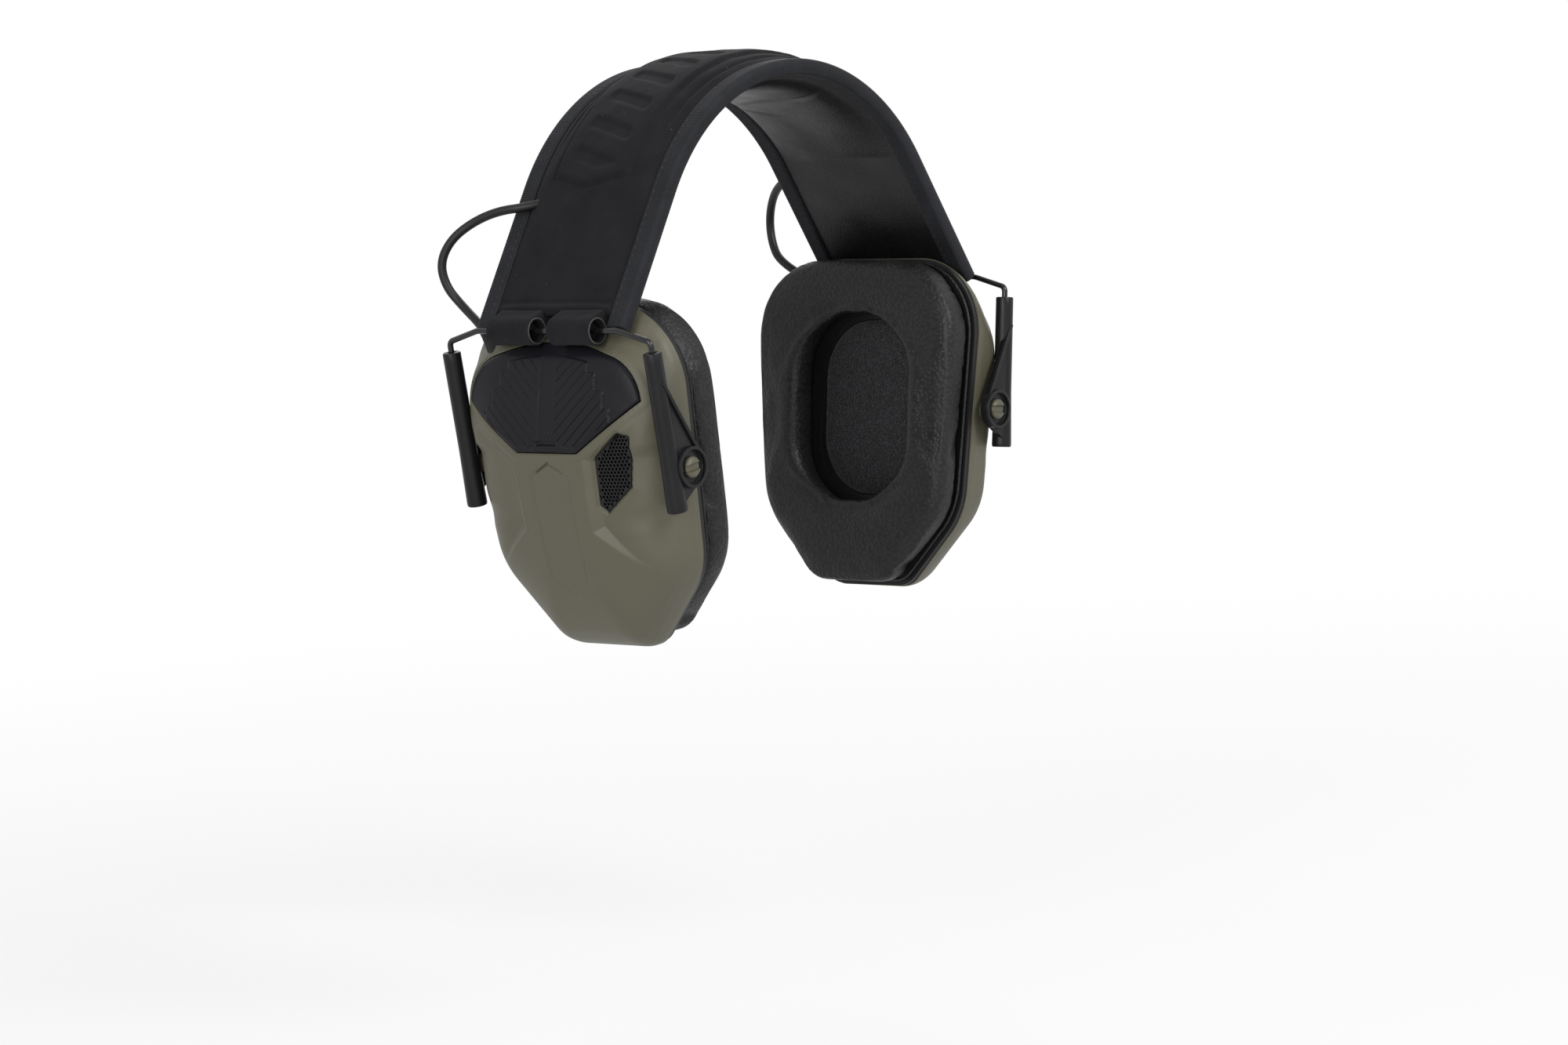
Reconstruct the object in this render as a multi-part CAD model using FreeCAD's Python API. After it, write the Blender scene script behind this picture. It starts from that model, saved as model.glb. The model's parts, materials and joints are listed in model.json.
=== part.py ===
import FreeCAD, Part
import math
import os

# Folding electronic hearing-protection headset: a padded headband, two wire stirrups that
# turn in loops at its ends, slider arms, and two ear cups that tilt between the arms.
# Millimetres. Origin at the underside of the head pad at the crown, +Z up, -Y to the
# wearer's front, -X to the wearer's right. The right side is built on a bench frame with
# X towards the head, Y as in the part and Z along the slider tubes, with its origin on the
# cup's tilt axis. The left side is its mirror image, apart from what only one cup holds.

Vec = FreeCAD.Vector
OUT = Vec(-1, 0, 0)
ORIGIN = Vec(0, 0, 0)
REAR = Vec(0, 1, 0)

# ---- headband
band_radius = 78.0            # outer face at the crown
band_leg_lean = 32.0          # straight legs from the vertical, degrees
band_leg = 52.8               # straight leg, from the arc to the fold axis
band_half = 32.5              # half width over the binding
binding_thick = 0.8
binding_strip = 7.0           # width of the binding on each face
cover_thick = 1.6
core_thick = 1.0
core_half = 12.0
pad_edge = 2.0                # pad thickness at the binding
pad_crown = 7.6               # pad thickness at the crown
pad_half = 25.0
pad_angle = 54.0              # the thick part of the pad spans this each side of the crown
cover_swell = 3.2             # the padded middle of the cover stands this proud
swell_half = 22.0
swell_run = 14.0              # it runs this far down each leg
panel_rise = 1.6              # raised panel on the crown, above the padded middle
panel_half = 16.0
panel_angle = 56.0
corner_short = 1.6            # binding corners stop this far short of the fold axis
seam_back = 6.6               # the cover's middle stops this far short of the fold axis

# ---- loops, stirrup wire and slider arms
loop_radius = 4.75
loop_wall = 1.15
loop_inner_end = 4.0
loop_outer_end = 22.5
barrel_inset = 2.5            # moulded barrels sit this far inside each loop's ends
wire_radius = 1.0
wire_bend = 2.2
wire_shoulder_bend = 8.0
wire_slant_inner = 31.0       # the wire leaves the straight here
wire_slant_drop = 3.7
running_gap = 0.05
fit_gap = 0.3
side_lean = 7.67              # slider tubes from the vertical, degrees
axis_to_pivot = 46.5          # fold axis down to the tilt axis, along the tubes
tube_out = 6.83               # tube axis outboard of the tilt axis
tube_half_spacing = 44.4
tube_radius = 3.05
tube_foot_radius = 3.4
tube_top = 39.3
tube_bottom = -13.2
slide_travel = 26.0
wire_left_in_tube = 12.0      # wire still in the tube with the arms drawn out
web_thick = 1.8
web_face = 45.1               # inner face of the arm's web
ring_radius = 6.85
ring_out = 48.4
ring_recess_radius = 5.6
ring_recess_deep = 1.6
stud_radius = 3.35
stud_barb = 0.45
slit_half = 1.15

# ---- cup
rim_in = 7.0                  # rim plane inboard of the tilt axis
wall = 2.2
cup_half = 46.0
cup_waist = 39.8
cup_waist_down = 37.0
cup_foot = 16.8
cup_top = 52.5
cup_bottom = 63.0
cup_corner = 26.0
cup_waist_round = 27.0
cup_foot_round = 9.0
# One row per level of the cup: outboard of the tilt axis, then how far the side, the top and
# the foot have come in from the rim.
cup_levels = [
    (-4.5, 0.2, 1.0, 0.2), (-2.0, 0.6, 3.5, 0.8), (1.0, 1.0, 8.3, 2.1), (4.0, 1.6, 11.9, 4.0),
    (7.0, 4.0, 14.9, 6.8), (10.5, 7.8, 24.0, 12.5), (13.5, 14.0, 33.5, 21.5),
    (15.8, 24.0, 42.5, 36.0), (17.0, 36.0, 48.0, 50.0),
]
lid_low = 7.8                 # the top cover's foot above the tilt axis
lid_foot = 13.2               # half width at the foot
lid_shoulder = 23.6
lid_side = 37.6               # half width at the shoulder
lid_knee = (25.7, 38.0)       # where the side arc meets the top arc
lid_bulge = (33.8, 32.6)      # middle of the side arc
lid_crown = 41.9
grille_corners = [(-28.6, 14.6), (-32.6, 12.6), (-30.8, -4.0), (-20.2, -12.4), (-17.6, -10.0), (-18.4, 6.0)]
grille_round = 1.2
grille_sunk = 0.9             # the mesh's face below the cup's
grille_thick = 1.0
baffle_thick = 2.0
baffle_hole_half = 22.0
baffle_hole_up = 31.0
baffle_in = 0.4               # the baffle's edge inside the rim
ring_edge_in = 2.0
cushion_edge_in = 1.0
cushion_foot_in = 0.9         # the cushion and its ring come in this much more at the foot
cushion_ring_thick = 1.2
cushion_thick = 13.8
cushion_hole_half = 24.0
cushion_hole_up = 33.0
foam_thick = 3.4
screw_radius = 1.1
screw_head_radius = 2.2
screw_end = -1.5
screw_head_thick = 1.1
post_radius = 3.4
post_end = -9.0
post_upper = (30.0, 34.0)     # half spacing across, and height on the cup
post_lower = (27.0, -38.0)
speaker_radius = 16.0
speaker_thick = 5.0
speaker_down = 6.0
speaker_rim = 2.0
speaker_magnet = 8.8
bracket_rim = 2.4
bracket_half = 28.0
bracket_arm_half = 3.0
cell_radius = 5.25
cell_length = 44.5
cell_pitch = 11.0
cell_low = 20.0
cell_nub_radius = 1.9
cell_nub = 1.0
tray_wall = 1.2
tray_end_room = 1.4           # the contacts stand here, past each end of the cells
contact_thick = 0.4
contact_half = 3.5
contact_up = 4.0
spring_radius = 3.0
spring_tip_radius = 1.8
mic_radius = 3.0
mic_length = 4.5
mic_deep = 5.05               # the capsule's front below the shell's face
mic_boot_wall = 1.6
mic_boot_back = 1.2
mic_at = (-25.2, 1.0)
cover_gap = 0.25
latch_half = 4.0
latch_low = 11.0
latch_high = 12.6
latch_deep = 0.7
key_travel = 0.8
key_proud = 1.0
key_flange = 0.9
key_flange_thick = 0.8
key_stem_radius = 1.8
volume_key_across = 13.0
volume_key_up = 25.0
volume_key_radius = 4.6
power_key_up = 17.0
power_key_radius = 5.6
board_face_in = 3.4           # the board's outboard face, inboard of the tilt axis
board_thick = 1.6
board_half = 24.0
board_low = 12.8
board_high = 34.0
switch_half = 3.0
switch_tall = 2.2
key_deep = 7.6                # a key's flange lies this far below its face
jack_radius = 1.8
jack_outer = 3.2
jack_length = 14.0
jack_in = 1.6                 # the jack's axis inboard of the tilt axis
jack_across = 9.0
jack_recess = 2.6             # its mouth above the cup's lowest point
boot_foot = Vec(-1.0, 29.5, 39.0)   # strain relief on the cup's rear shoulder, on the bench
boot_tip = Vec(1.6, 35.2, 44.2)
boot_foot_radius = 3.4
boot_tip_radius = 2.1
boot_side_gap = 0.3           # the boot is flattened beside the top cover
# The free lead's corners after it has left the band, on the right.
lead_corners = [
    Vec(-72.8, 25.4, -32.6), Vec(-76.2, 34.5, -33.4), Vec(-79.2, 43.5, -36.6), Vec(-83.2, 50.5, -42.0),
    Vec(-85.4, 54.2, -49.6), Vec(-84.6, 53.0, -57.6), Vec(-82.6, 48.4, -64.0),
]
lead_radius = 1.5
lead_y = 18.0                 # the lead's place in the band
lead_hidden = 10.5            # the free lead starts this far above the leg's bend
lead_depth = 2.4                # its centre line below the binding's outer face
lead_core_radius = 1.1          # inside the band the lead is only its two cores
lead_slack = 0.2
lead_floor = 4.15               # depth of the slot that the lead leaves the band by
lead_slot_end = 24.9            # the slot's edge, just short of the binding
lead_slot_run = 9.0             # how far the slot reaches down the leg
lead_breaks = [4, 8]          # the lead is parted half way along the runs after these points


# ---- derived places
crown_outer = binding_thick + cover_thick + pad_crown
arch_z = crown_outer - band_radius
leg_turn = math.radians(90.0 - band_leg_lean)
lean = math.radians(side_lean)
cover_in = binding_thick + cover_thick
pad_base_in = cover_in + pad_edge
band_edge_in = pad_base_in + binding_thick
ring_in = ring_out - ring_recess_deep


def leg_point(depth, run, y=0.0):
    """A point of the right leg: depth below the outer face, run down from the arc."""
    reach = band_radius - depth
    x = -reach * math.sin(leg_turn) - run * math.cos(leg_turn)
    z = arch_z + reach * math.cos(leg_turn) - run * math.sin(leg_turn)
    return Vec(x, y, z)


hinge_point = leg_point(0.0, band_leg)
bench_turn = FreeCAD.Rotation(REAR, -side_lean)
pivot_point = hinge_point + bench_turn.multVec(Vec(tube_out, 0, -axis_to_pivot))
bench_place = FreeCAD.Placement(pivot_point, bench_turn)


# ---- small tools
def on_right(shape):
    """Move a shape from the bench to the right side of the headset."""
    moved = shape.copy()
    moved.Placement = bench_place.multiply(moved.Placement)
    return moved


def mirrored(shape):
    return shape.mirror(ORIGIN, Vec(1, 0, 0))


def mirrored_y(shape):
    return shape.mirror(ORIGIN, Vec(0, 1, 0))


def to_bench(point):
    return bench_place.inverse().multVec(point)


def from_bench(point):
    return bench_place.multVec(point)


def box(x0, x1, y0, y1, z0, z1):
    return Part.makeBox(x1 - x0, y1 - y0, z1 - z0, Vec(x0, y0, z0))


def rod(radius, start, end):
    direction = end - start
    return Part.makeCylinder(radius, direction.Length, start, direction)


def fused(shapes):
    whole = shapes[0].multiFuse(shapes[1:])
    return whole.removeSplitter()


def cut(shape, *tools):
    for tool in tools:
        shape = shape.cut(tool)
    return shape


def filleted_wire(points, radii):
    """A closed wire through corner points, each corner rounded to its own radius."""
    count = len(points)
    edges = []
    starts = []
    ends = []
    middles = []
    for i in range(count):
        corner = points[i]
        back = (points[i - 1] - corner).normalize()
        ahead = (points[(i + 1) % count] - corner).normalize()
        half = math.acos(max(-1.0, min(1.0, back.dot(ahead)))) / 2.0
        reach = radii[i] / math.tan(half)
        inward = (back + ahead).normalize()
        starts.append(corner + back * reach)
        ends.append(corner + ahead * reach)
        middles.append(corner + inward * (radii[i] / math.sin(half) - radii[i]))
    for i in range(count):
        edges.append(Part.Arc(starts[i], middles[i], ends[i]).toShape())
        following = starts[(i + 1) % count]
        if (following - ends[i]).Length > 1e-6:
            edges.append(Part.LineSegment(ends[i], following).toShape())
    return Part.Wire(edges)


def prism(points, x0, x1, radii=None):
    """A prism along the bench X axis from (y, z) corner points."""
    corners = [Vec(x0, y, z) for y, z in points]
    if radii is None:
        wire = Part.makePolygon(corners + [corners[0]])
    else:
        wire = filleted_wire(corners, radii)
    return Part.Face(wire).extrude(Vec(x1 - x0, 0, 0))


def oval(half, up, x0, x1):
    """A rounded slot shape centred on the cup, wider than a racetrack at its ends."""
    corners = [(half, up), (half, -up), (-half, -up), (-half, up)]
    return prism(corners, x0, x1, [half * 0.92] * 4)


def rounded_path(points, radii):
    """Straight runs joined by tangent arcs, as one open wire."""
    edges = []
    start = points[0]
    for i in range(1, len(points) - 1):
        corner = points[i]
        back = (points[i - 1] - corner).normalize()
        ahead = (points[i + 1] - corner).normalize()
        half = math.acos(max(-1.0, min(1.0, back.dot(ahead)))) / 2.0
        reach = radii[i - 1] / math.tan(half)
        inward = (back + ahead).normalize()
        middle = corner + inward * (radii[i - 1] / math.sin(half) - radii[i - 1])
        first = corner + back * reach
        last = corner + ahead * reach
        edges.append(Part.LineSegment(start, first).toShape())
        edges.append(Part.Arc(first, middle, last).toShape())
        start = last
    edges.append(Part.LineSegment(start, points[-1]).toShape())
    return Part.Wire(edges)


def tube_along(path, radius):
    first = path.OrderedEdges[0]
    start = first.valueAt(first.FirstParameter)
    profile = Part.Wire(Part.makeCircle(radius, start, first.tangentAt(first.FirstParameter)))
    return path.makePipeShell([profile], True, True)


# ---- headband
def arch_layer(outer, inner, y0, y1, run=band_leg, run_from=None):
    """A layer of the band between two depths, bent over the arch, y0 to y1 wide."""
    def side(depth, sign):
        end = leg_point(depth, run)
        bend = leg_point(depth, 0.0)
        return Vec(sign * end.x, y0, end.z), Vec(sign * bend.x, y0, bend.z)

    right_end, right_bend = side(outer, 1)
    left_end, left_bend = side(outer, -1)
    right_end_in, right_bend_in = side(inner, 1)
    left_end_in, left_bend_in = side(inner, -1)
    top = Vec(0, y0, arch_z + band_radius - outer)
    top_in = Vec(0, y0, arch_z + band_radius - inner)
    edges = [
        Part.LineSegment(right_end, right_bend).toShape(),
        Part.Arc(right_bend, top, left_bend).toShape(),
        Part.LineSegment(left_bend, left_end).toShape(),
        Part.LineSegment(left_end, left_end_in).toShape(),
        Part.LineSegment(left_end_in, left_bend_in).toShape(),
        Part.Arc(left_bend_in, top_in, right_bend_in).toShape(),
        Part.LineSegment(right_bend_in, right_end_in).toShape(),
        Part.LineSegment(right_end_in, right_end).toShape(),
    ]
    return Part.Face(Part.Wire(edges)).extrude(Vec(0, y1 - y0, 0))


def arch_sector(outer, inner, half, angle):
    """A layer of the band's arc alone, the given angle each side of the crown."""
    def at(depth, turn):
        reach = band_radius - depth
        return Vec(reach * math.sin(turn), -half, arch_z + reach * math.cos(turn))

    turn = math.radians(angle)
    edges = [
        Part.Arc(at(outer, -turn), at(outer, 0), at(outer, turn)).toShape(),
        Part.LineSegment(at(outer, turn), at(inner, turn)).toShape(),
        Part.Arc(at(inner, turn), at(inner, 0), at(inner, -turn)).toShape(),
        Part.LineSegment(at(inner, -turn), at(outer, -turn)).toShape(),
    ]
    return Part.Face(Part.Wire(edges)).extrude(Vec(0, 2 * half, 0))


def notched_layer(outer, inner):
    """A full-width layer whose ends are cut back in the middle to clear the loops."""
    half = band_half - binding_thick
    side = loop_outer_end + 2.0
    middle = arch_layer(outer, inner, -side, side, band_leg - seam_back)
    rear = arch_layer(outer, inner, side, half, band_leg - corner_short)
    return fused([middle, rear, mirrored_y(rear)])


def lead_channel():
    """The right half of the tunnel that the lead fills between cover and pad."""
    turn = lead_start_turn()
    start = arc_point(lead_depth, 0.0, lead_y)
    middle = arc_point(lead_depth, turn / 2.0, lead_y)
    end = arc_point(lead_depth, turn, lead_y)
    return Part.Wire([Part.Arc(start, middle, end).toShape()])


def lead_start_turn():
    return leg_turn - lead_hidden / (band_radius - lead_depth)


def arc_point(depth, turn, y):
    reach = band_radius - depth
    return Vec(-reach * math.sin(turn), y, arch_z + reach * math.cos(turn))


def lead_room():
    """What the cover and the pad leave open for both leads: a tunnel, then an open slot."""
    tunnel = tube_along(lead_channel(), lead_core_radius + lead_slack)
    start = lead_route()[0]
    edge = lead_y - lead_radius - fit_gap
    slot = arch_layer(-2.0 * cover_swell, lead_floor, edge, lead_slot_end, lead_slot_run)
    slot = slot.common(box(-band_radius * 2, start.x + 2.0 * lead_radius, 0, band_half, arch_z, 0))
    return [tunnel, mirrored(tunnel), slot, mirrored(slot)]


def headband_cover():
    layer = notched_layer(binding_thick, cover_in)
    swell = arch_layer(binding_thick - cover_swell, cover_in, -swell_half, swell_half, swell_run)
    outer = binding_thick - cover_swell - panel_rise
    panel = arch_sector(outer, cover_in, panel_half, panel_angle)
    return cut(fused([layer, swell, panel]), *lead_room())


def headband_core():
    side = loop_outer_end - barrel_inset
    near = loop_inner_end + barrel_inset
    strip = arch_layer(cover_in, cover_in + core_thick, -core_half, core_half, band_leg - seam_back)
    parts = [strip]
    for y0 in (near, -side):
        for flip in (False, True):
            tang = tang_slab(cover_in, cover_in + core_thick, y0, y0 + side - near)
            barrel = rod(loop_radius - loop_wall - fit_gap, hinge_point + REAR * y0,
                         hinge_point + REAR * (y0 + side - near))
            tool = fused([tang, barrel])
            parts.append(mirrored(tool) if flip else tool)
    whole = fused(parts)
    bore = rod(wire_radius + running_gap, hinge_point - REAR * band_half, hinge_point + REAR * band_half)
    return cut(whole, bore, mirrored(bore))


def tang_slab(outer, inner, y0, y1, back=12.0):
    """A flat piece of a band layer from near the seam to the fold axis, right side."""
    run0 = band_leg - seam_back - back
    corners = [leg_point(outer, run0, y0), leg_point(outer, band_leg, y0),
               leg_point(inner, band_leg, y0), leg_point(inner, run0, y0)]
    face = Part.Face(Part.makePolygon(corners + [corners[0]]))
    return face.extrude(Vec(0, y1 - y0, 0))


def headband_pad():
    base = notched_layer(cover_in, pad_base_in)
    depth = cover_in + pad_crown
    turn = math.radians(pad_angle)
    reach = band_radius - cover_in - pad_edge / 2.0

    def at(r, angle):
        return Vec(r * math.sin(angle), -pad_half, arch_z + r * math.cos(angle))

    crown = Vec(0, -pad_half, arch_z + band_radius - depth)
    edges = [
        Part.Arc(at(reach, -turn), at(reach, 0), at(reach, turn)).toShape(),
        Part.Arc(at(reach, turn), crown, at(reach, -turn)).toShape(),
    ]
    bulge = Part.Face(Part.Wire(edges)).extrude(Vec(0, 2 * pad_half, 0))
    whole = fused([base, bulge])
    pocket = arch_layer(cover_in, cover_in + core_thick, -core_half, core_half, band_leg)
    room = [pocket] + lead_room()
    far = loop_outer_end - barrel_inset
    for y0 in (core_half, -far):
        slab = tang_slab(cover_in, cover_in + core_thick, y0, y0 + far - core_half)
        room.append(slab)
        room.append(mirrored(slab))
    return cut(whole, *room)


def edge_binding():
    inner_edge = band_half - binding_strip
    run = band_leg - corner_short
    outside = arch_layer(0.0, binding_thick, inner_edge, band_half, run)
    edge = arch_layer(0.0, band_edge_in, band_half - binding_thick, band_half, run)
    inside = arch_layer(pad_base_in, band_edge_in, inner_edge, band_half, run)
    return fused([outside, edge, inside])


def hinge_loops():
    """Two cloth loops at the right end of the band, each rolled round a barrel."""
    loops = []
    for y0 in (loop_inner_end, -loop_outer_end):
        y1 = y0 + loop_outer_end - loop_inner_end
        roll = rod(loop_radius, hinge_point + REAR * y0, hinge_point + REAR * y1)
        run0 = band_leg - seam_back
        corners = [leg_point(binding_thick, run0, y0), leg_point(pad_base_in, run0, y0),
                   leg_point(2.2, band_leg, y0), leg_point(-4.3, band_leg - 1.6, y0)]
        tail = Part.Face(Part.makePolygon(corners + [corners[0]])).extrude(Vec(0, y1 - y0, 0))
        loop = fused([roll, tail])
        inside = rod(loop_radius - loop_wall, hinge_point + REAR * (y0 - 1), hinge_point + REAR * (y1 + 1))
        near = y0 + barrel_inset - 0.1
        far = y1 - barrel_inset + 0.1
        slot = tang_slab(cover_in, cover_in + core_thick, near, far)
        loops.append(cut(loop, inside, slot))
    return Part.makeCompound(loops)


def headband_lead():
    half = tube_along(lead_channel(), lead_core_radius)
    return half.fuse(mirrored(half)).removeSplitter()


# ---- the right lead between the band and the cup
def lead_route():
    foot, tip = boot_foot, boot_tip
    return [
        arc_point(lead_depth, lead_start_turn(), lead_y),
        arc_point(lead_depth, leg_turn - 0.04, lead_y),
        leg_point(1.8, 4.2, 20.0),
    ] + lead_corners + [
        from_bench(tip + (tip - foot) * 0.15),
        from_bench(foot - (tip - foot) * 0.35),
    ]


def arc_radii(points):
    """Each arc is as large as its two runs allow: 0.45 of the shorter run over tan(half turn)."""
    radii = []
    for i in range(1, len(points) - 1):
        back = points[i] - points[i - 1]
        ahead = points[i + 1] - points[i]
        turn = back.getAngle(ahead)
        radii.append(0.45 * min(back.Length, ahead.Length) / math.tan(turn / 2.0))
    return radii


def lead_pieces():
    """The lead as three tubes that meet face to face, one for each joint that it crosses."""
    points = lead_route()
    radii = arc_radii(points)
    print("lead bend radii", [round(r, 1) for r in radii])
    last = len(points) - 1
    breaks = [0] + lead_breaks + [last]
    pieces = []
    for start, end in zip(breaks, breaks[1:]):
        way = points[start + 1:end + 1]
        first = points[0] if start == 0 else (points[start] + points[start + 1]) * 0.5
        if end == last:
            way = way[:-1]
            final = points[last]
        else:
            final = (points[end] + points[end + 1]) * 0.5
        path = rounded_path([first] + way + [final], radii[start:start + len(way)])
        tube = tube_along(path, lead_radius)
        section = math.pi * lead_radius ** 2
        print("lead piece %.1f mm, volume over section %.1f" % (path.Length, tube.Volume / section))
        pieces.append(tube)
    return pieces


# ---- stirrup and arms, on the bench
def stirrup_wire():
    end = tube_top - slide_travel - wire_left_in_tube
    top = axis_to_pivot
    knee = top - wire_slant_drop
    legs = tube_half_spacing
    points = [Vec(-tube_out, y, z) for y, z in (
        (-legs, end), (-legs, knee), (-wire_slant_inner, top),
        (wire_slant_inner, top), (legs, knee), (legs, end))]
    radii = [wire_bend, wire_shoulder_bend, wire_shoulder_bend, wire_bend]
    return tube_along(rounded_path(points, radii), wire_radius)


def slider_arm():
    """Rear arm: tube, web down to the ring, and the ring that holds the cup's stud."""
    y = tube_half_spacing
    body = rod(tube_radius, Vec(-tube_out, y, tube_bottom), Vec(-tube_out, y, tube_top))
    foot = Part.makeCone(tube_foot_radius, tube_radius, 14.0, Vec(-tube_out, y, tube_bottom))
    corners = [(-tube_out, 30.0), (ring_radius * 0.75, ring_radius * 0.62),
               (ring_radius * 0.55, -ring_radius * 0.8), (-tube_out, -11.5)]
    flat = [Vec(x, web_face, z) for x, z in corners]
    web = Part.Face(Part.makePolygon(flat + [flat[0]])).extrude(Vec(0, web_thick, 0))
    edge = flat[1] - flat[0]
    across = Vec(edge.z, 0, -edge.x).normalize() * 1.3
    rib_corners = [flat[0], flat[1], flat[1] - across, flat[0] - across]
    rib = Part.Face(Part.makePolygon(rib_corners + [rib_corners[0]])).extrude(Vec(0, web_thick + 0.9, 0))
    collar = rod(ring_radius, Vec(0, web_face, 0), Vec(0, ring_out, 0))
    whole = fused([body, foot, web, rib, collar])
    recess = rod(ring_recess_radius, Vec(0, ring_in, 0), Vec(0, ring_out + 1, 0))
    bore = rod(stud_radius + running_gap, Vec(0, web_face - 1, 0), Vec(0, ring_out + 1, 0))
    wire_end = tube_top - slide_travel - wire_left_in_tube
    channel = rod(wire_radius + running_gap, Vec(-tube_out, y, wire_end - 2.0),
                  Vec(-tube_out, y, tube_top + 1))
    inner_side = box(-20, 12, 0, web_face - 4.2, -30, 50)
    return cut(whole, recess, bore, channel, inner_side)


# ---- cup, on the bench
def dome_levels():
    """Outboard of the tilt axis, half width, top and bottom, from the rim outwards."""
    rows = [(-rim_in, cup_half, cup_top, cup_bottom)]
    for out, side, top, foot in cup_levels:
        rows.append((out, cup_half - side, cup_top - top, cup_bottom - foot))
    return rows


def cup_outline(x, half, top, bottom):
    """The cup's rounded outline at one level, flat at top and foot, chamfered low down."""
    scale = half / cup_half
    low = bottom / cup_bottom
    corners = [
        (half, top), (cup_waist * scale, -cup_waist_down * low), (cup_foot * scale, -bottom),
        (-cup_foot * scale, -bottom), (-cup_waist * scale, -cup_waist_down * low), (-half, top)]
    size = min(scale, (top + cup_waist_down * low) / (cup_top + cup_waist_down))
    radii = [cup_corner * size, cup_waist_round * min(size, low), cup_foot_round * min(size, low)]
    radii = radii + radii[::-1]
    return filleted_wire([Vec(x, y, z) for y, z in corners], radii)


def dome(inset, rim=rim_in):
    """The cup's outer form moved inwards by inset, closed at the given rim level."""
    depth = rim_in + dome_levels()[-1][0]
    wires = []
    for level, half, top, bottom in dome_levels():
        drop = inset * (level + rim_in) / depth
        wires.append(cup_outline(-(level - drop), half - inset, top - inset, bottom - inset))
    first = dome_levels()[0]
    if rim > rim_in:
        wires.insert(0, cup_outline(rim, first[1] - inset, first[2] - inset, first[3] - inset))
    return Part.makeLoft(wires, True, True)


def surface_out(y, z, skin):
    """How far outboard the dome lies at one place."""
    line = rod(0.05, Vec(rim_in - 1.0, y, z), Vec(-30, y, z))
    return -line.common(skin).BoundBox.XMin


def mirrored_point(point):
    return Vec(point.x, -point.y, point.z)


def hatch(gap, x0=-30.0, x1=-1.0):
    """Outline of the top cover: full and round above, cut to a narrow edge low down."""
    low = lid_low + gap
    side = lid_side - gap
    foot = lid_foot - gap * 0.4
    crown = lid_crown - gap
    right = Vec(x0, side, lid_shoulder + gap)
    bulge = Vec(x0, lid_bulge[0] - gap * 0.8, lid_bulge[1] - gap * 0.6)
    knee = Vec(x0, lid_knee[0] - gap * 0.3, lid_knee[1] - gap)
    left = mirrored_point(right)
    edges = [
        Part.Arc(right, bulge, knee).toShape(),
        Part.Arc(knee, Vec(x0, 0, crown), mirrored_point(knee)).toShape(),
        Part.Arc(mirrored_point(knee), mirrored_point(bulge), left).toShape(),
        Part.LineSegment(left, Vec(x0, -foot, low)).toShape(),
        Part.LineSegment(Vec(x0, -foot, low), Vec(x0, foot, low)).toShape(),
        Part.LineSegment(Vec(x0, foot, low), right).toShape(),
    ]
    return Part.Face(Part.Wire(edges)).extrude(Vec(x1 - x0, 0, 0))


def grille_outline(gap, x0=-30.0, x1=-1.0):
    count = len(grille_corners)
    middle_y = sum(c[0] for c in grille_corners) / count
    middle_z = sum(c[1] for c in grille_corners) / count
    grown = []
    for y, z in grille_corners:
        scale = 1.0 + gap / math.hypot(y - middle_y, z - middle_z)
        grown.append((middle_y + (y - middle_y) * scale, middle_z + (z - middle_z) * scale))
    return prism(grown, x0, x1, [grille_round] * count)


def post_places():
    return [(side * y, z) for y, z in (post_upper, post_lower) for side in (1, -1)]


def stud(side):
    """Split stud that the arm's ring turns on, with its boss on the cup's wall."""
    pin = rod(stud_radius, Vec(0, side * (cup_half - 8), 0), Vec(0, side * (ring_in + 0.35), 0))
    head = Part.makeCone(stud_radius + stud_barb, stud_radius, 0.9,
                         Vec(0, side * (ring_in + fit_gap), 0), Vec(0, side, 0))
    slit = box(-8, 8, 36, 60, -slit_half, slit_half)
    slit = slit if side > 0 else mirrored_y(slit)
    split = slit.common(rod(9.0, Vec(0, side * (web_face + 0.4), 0), Vec(0, side * 60, 0)))
    return fused([pin, head]).cut(split)


def cup_shell(skin, hollow, extra_holes):
    body = skin.cut(hollow)
    posts = []
    for y, z in post_places():
        posts.append(rod(post_radius, Vec(rim_in, y, z), Vec(post_end, y, z)).common(skin))
    studs = [stud(1), stud(-1)]
    keep_clear = hollow_core()
    studs = [s.cut(keep_clear) for s in studs]
    whole = fused([body] + posts + studs)
    pilots = [rod(screw_radius, Vec(rim_in + 1, y, z), Vec(screw_end - 0.5, y, z)) for y, z in post_places()]
    foot, tip = boot_foot, boot_tip
    boot_hole = rod(lead_radius + 0.8, foot - (tip - foot), tip)
    return cut(whole, hatch(0.0), grille_outline(0.2), boot_hole, *(pilots + extra_holes))


def hollow_core():
    """The inside of the cup that no boss may enter."""
    return box(-30, rim_in + 5, -(cup_half - 7), cup_half - 7, -20, 20)


def baffle_plate():
    plate = Part.Face(cup_outline(rim_in, cup_half - baffle_in, cup_top - baffle_in, cup_bottom - baffle_in))
    plate = plate.extrude(Vec(baffle_thick, 0, 0))
    holes = [oval(baffle_hole_half, baffle_hole_up, rim_in - 1, rim_in + 5)]
    head_x = rim_in + baffle_thick - screw_head_thick
    for y, z in post_places():
        holes.append(rod(screw_radius, Vec(rim_in - 1, y, z), Vec(rim_in + 5, y, z)))
        holes.append(rod(screw_head_radius, Vec(head_x, y, z), Vec(rim_in + 5, y, z)))
    return cut(plate, *holes)


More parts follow.
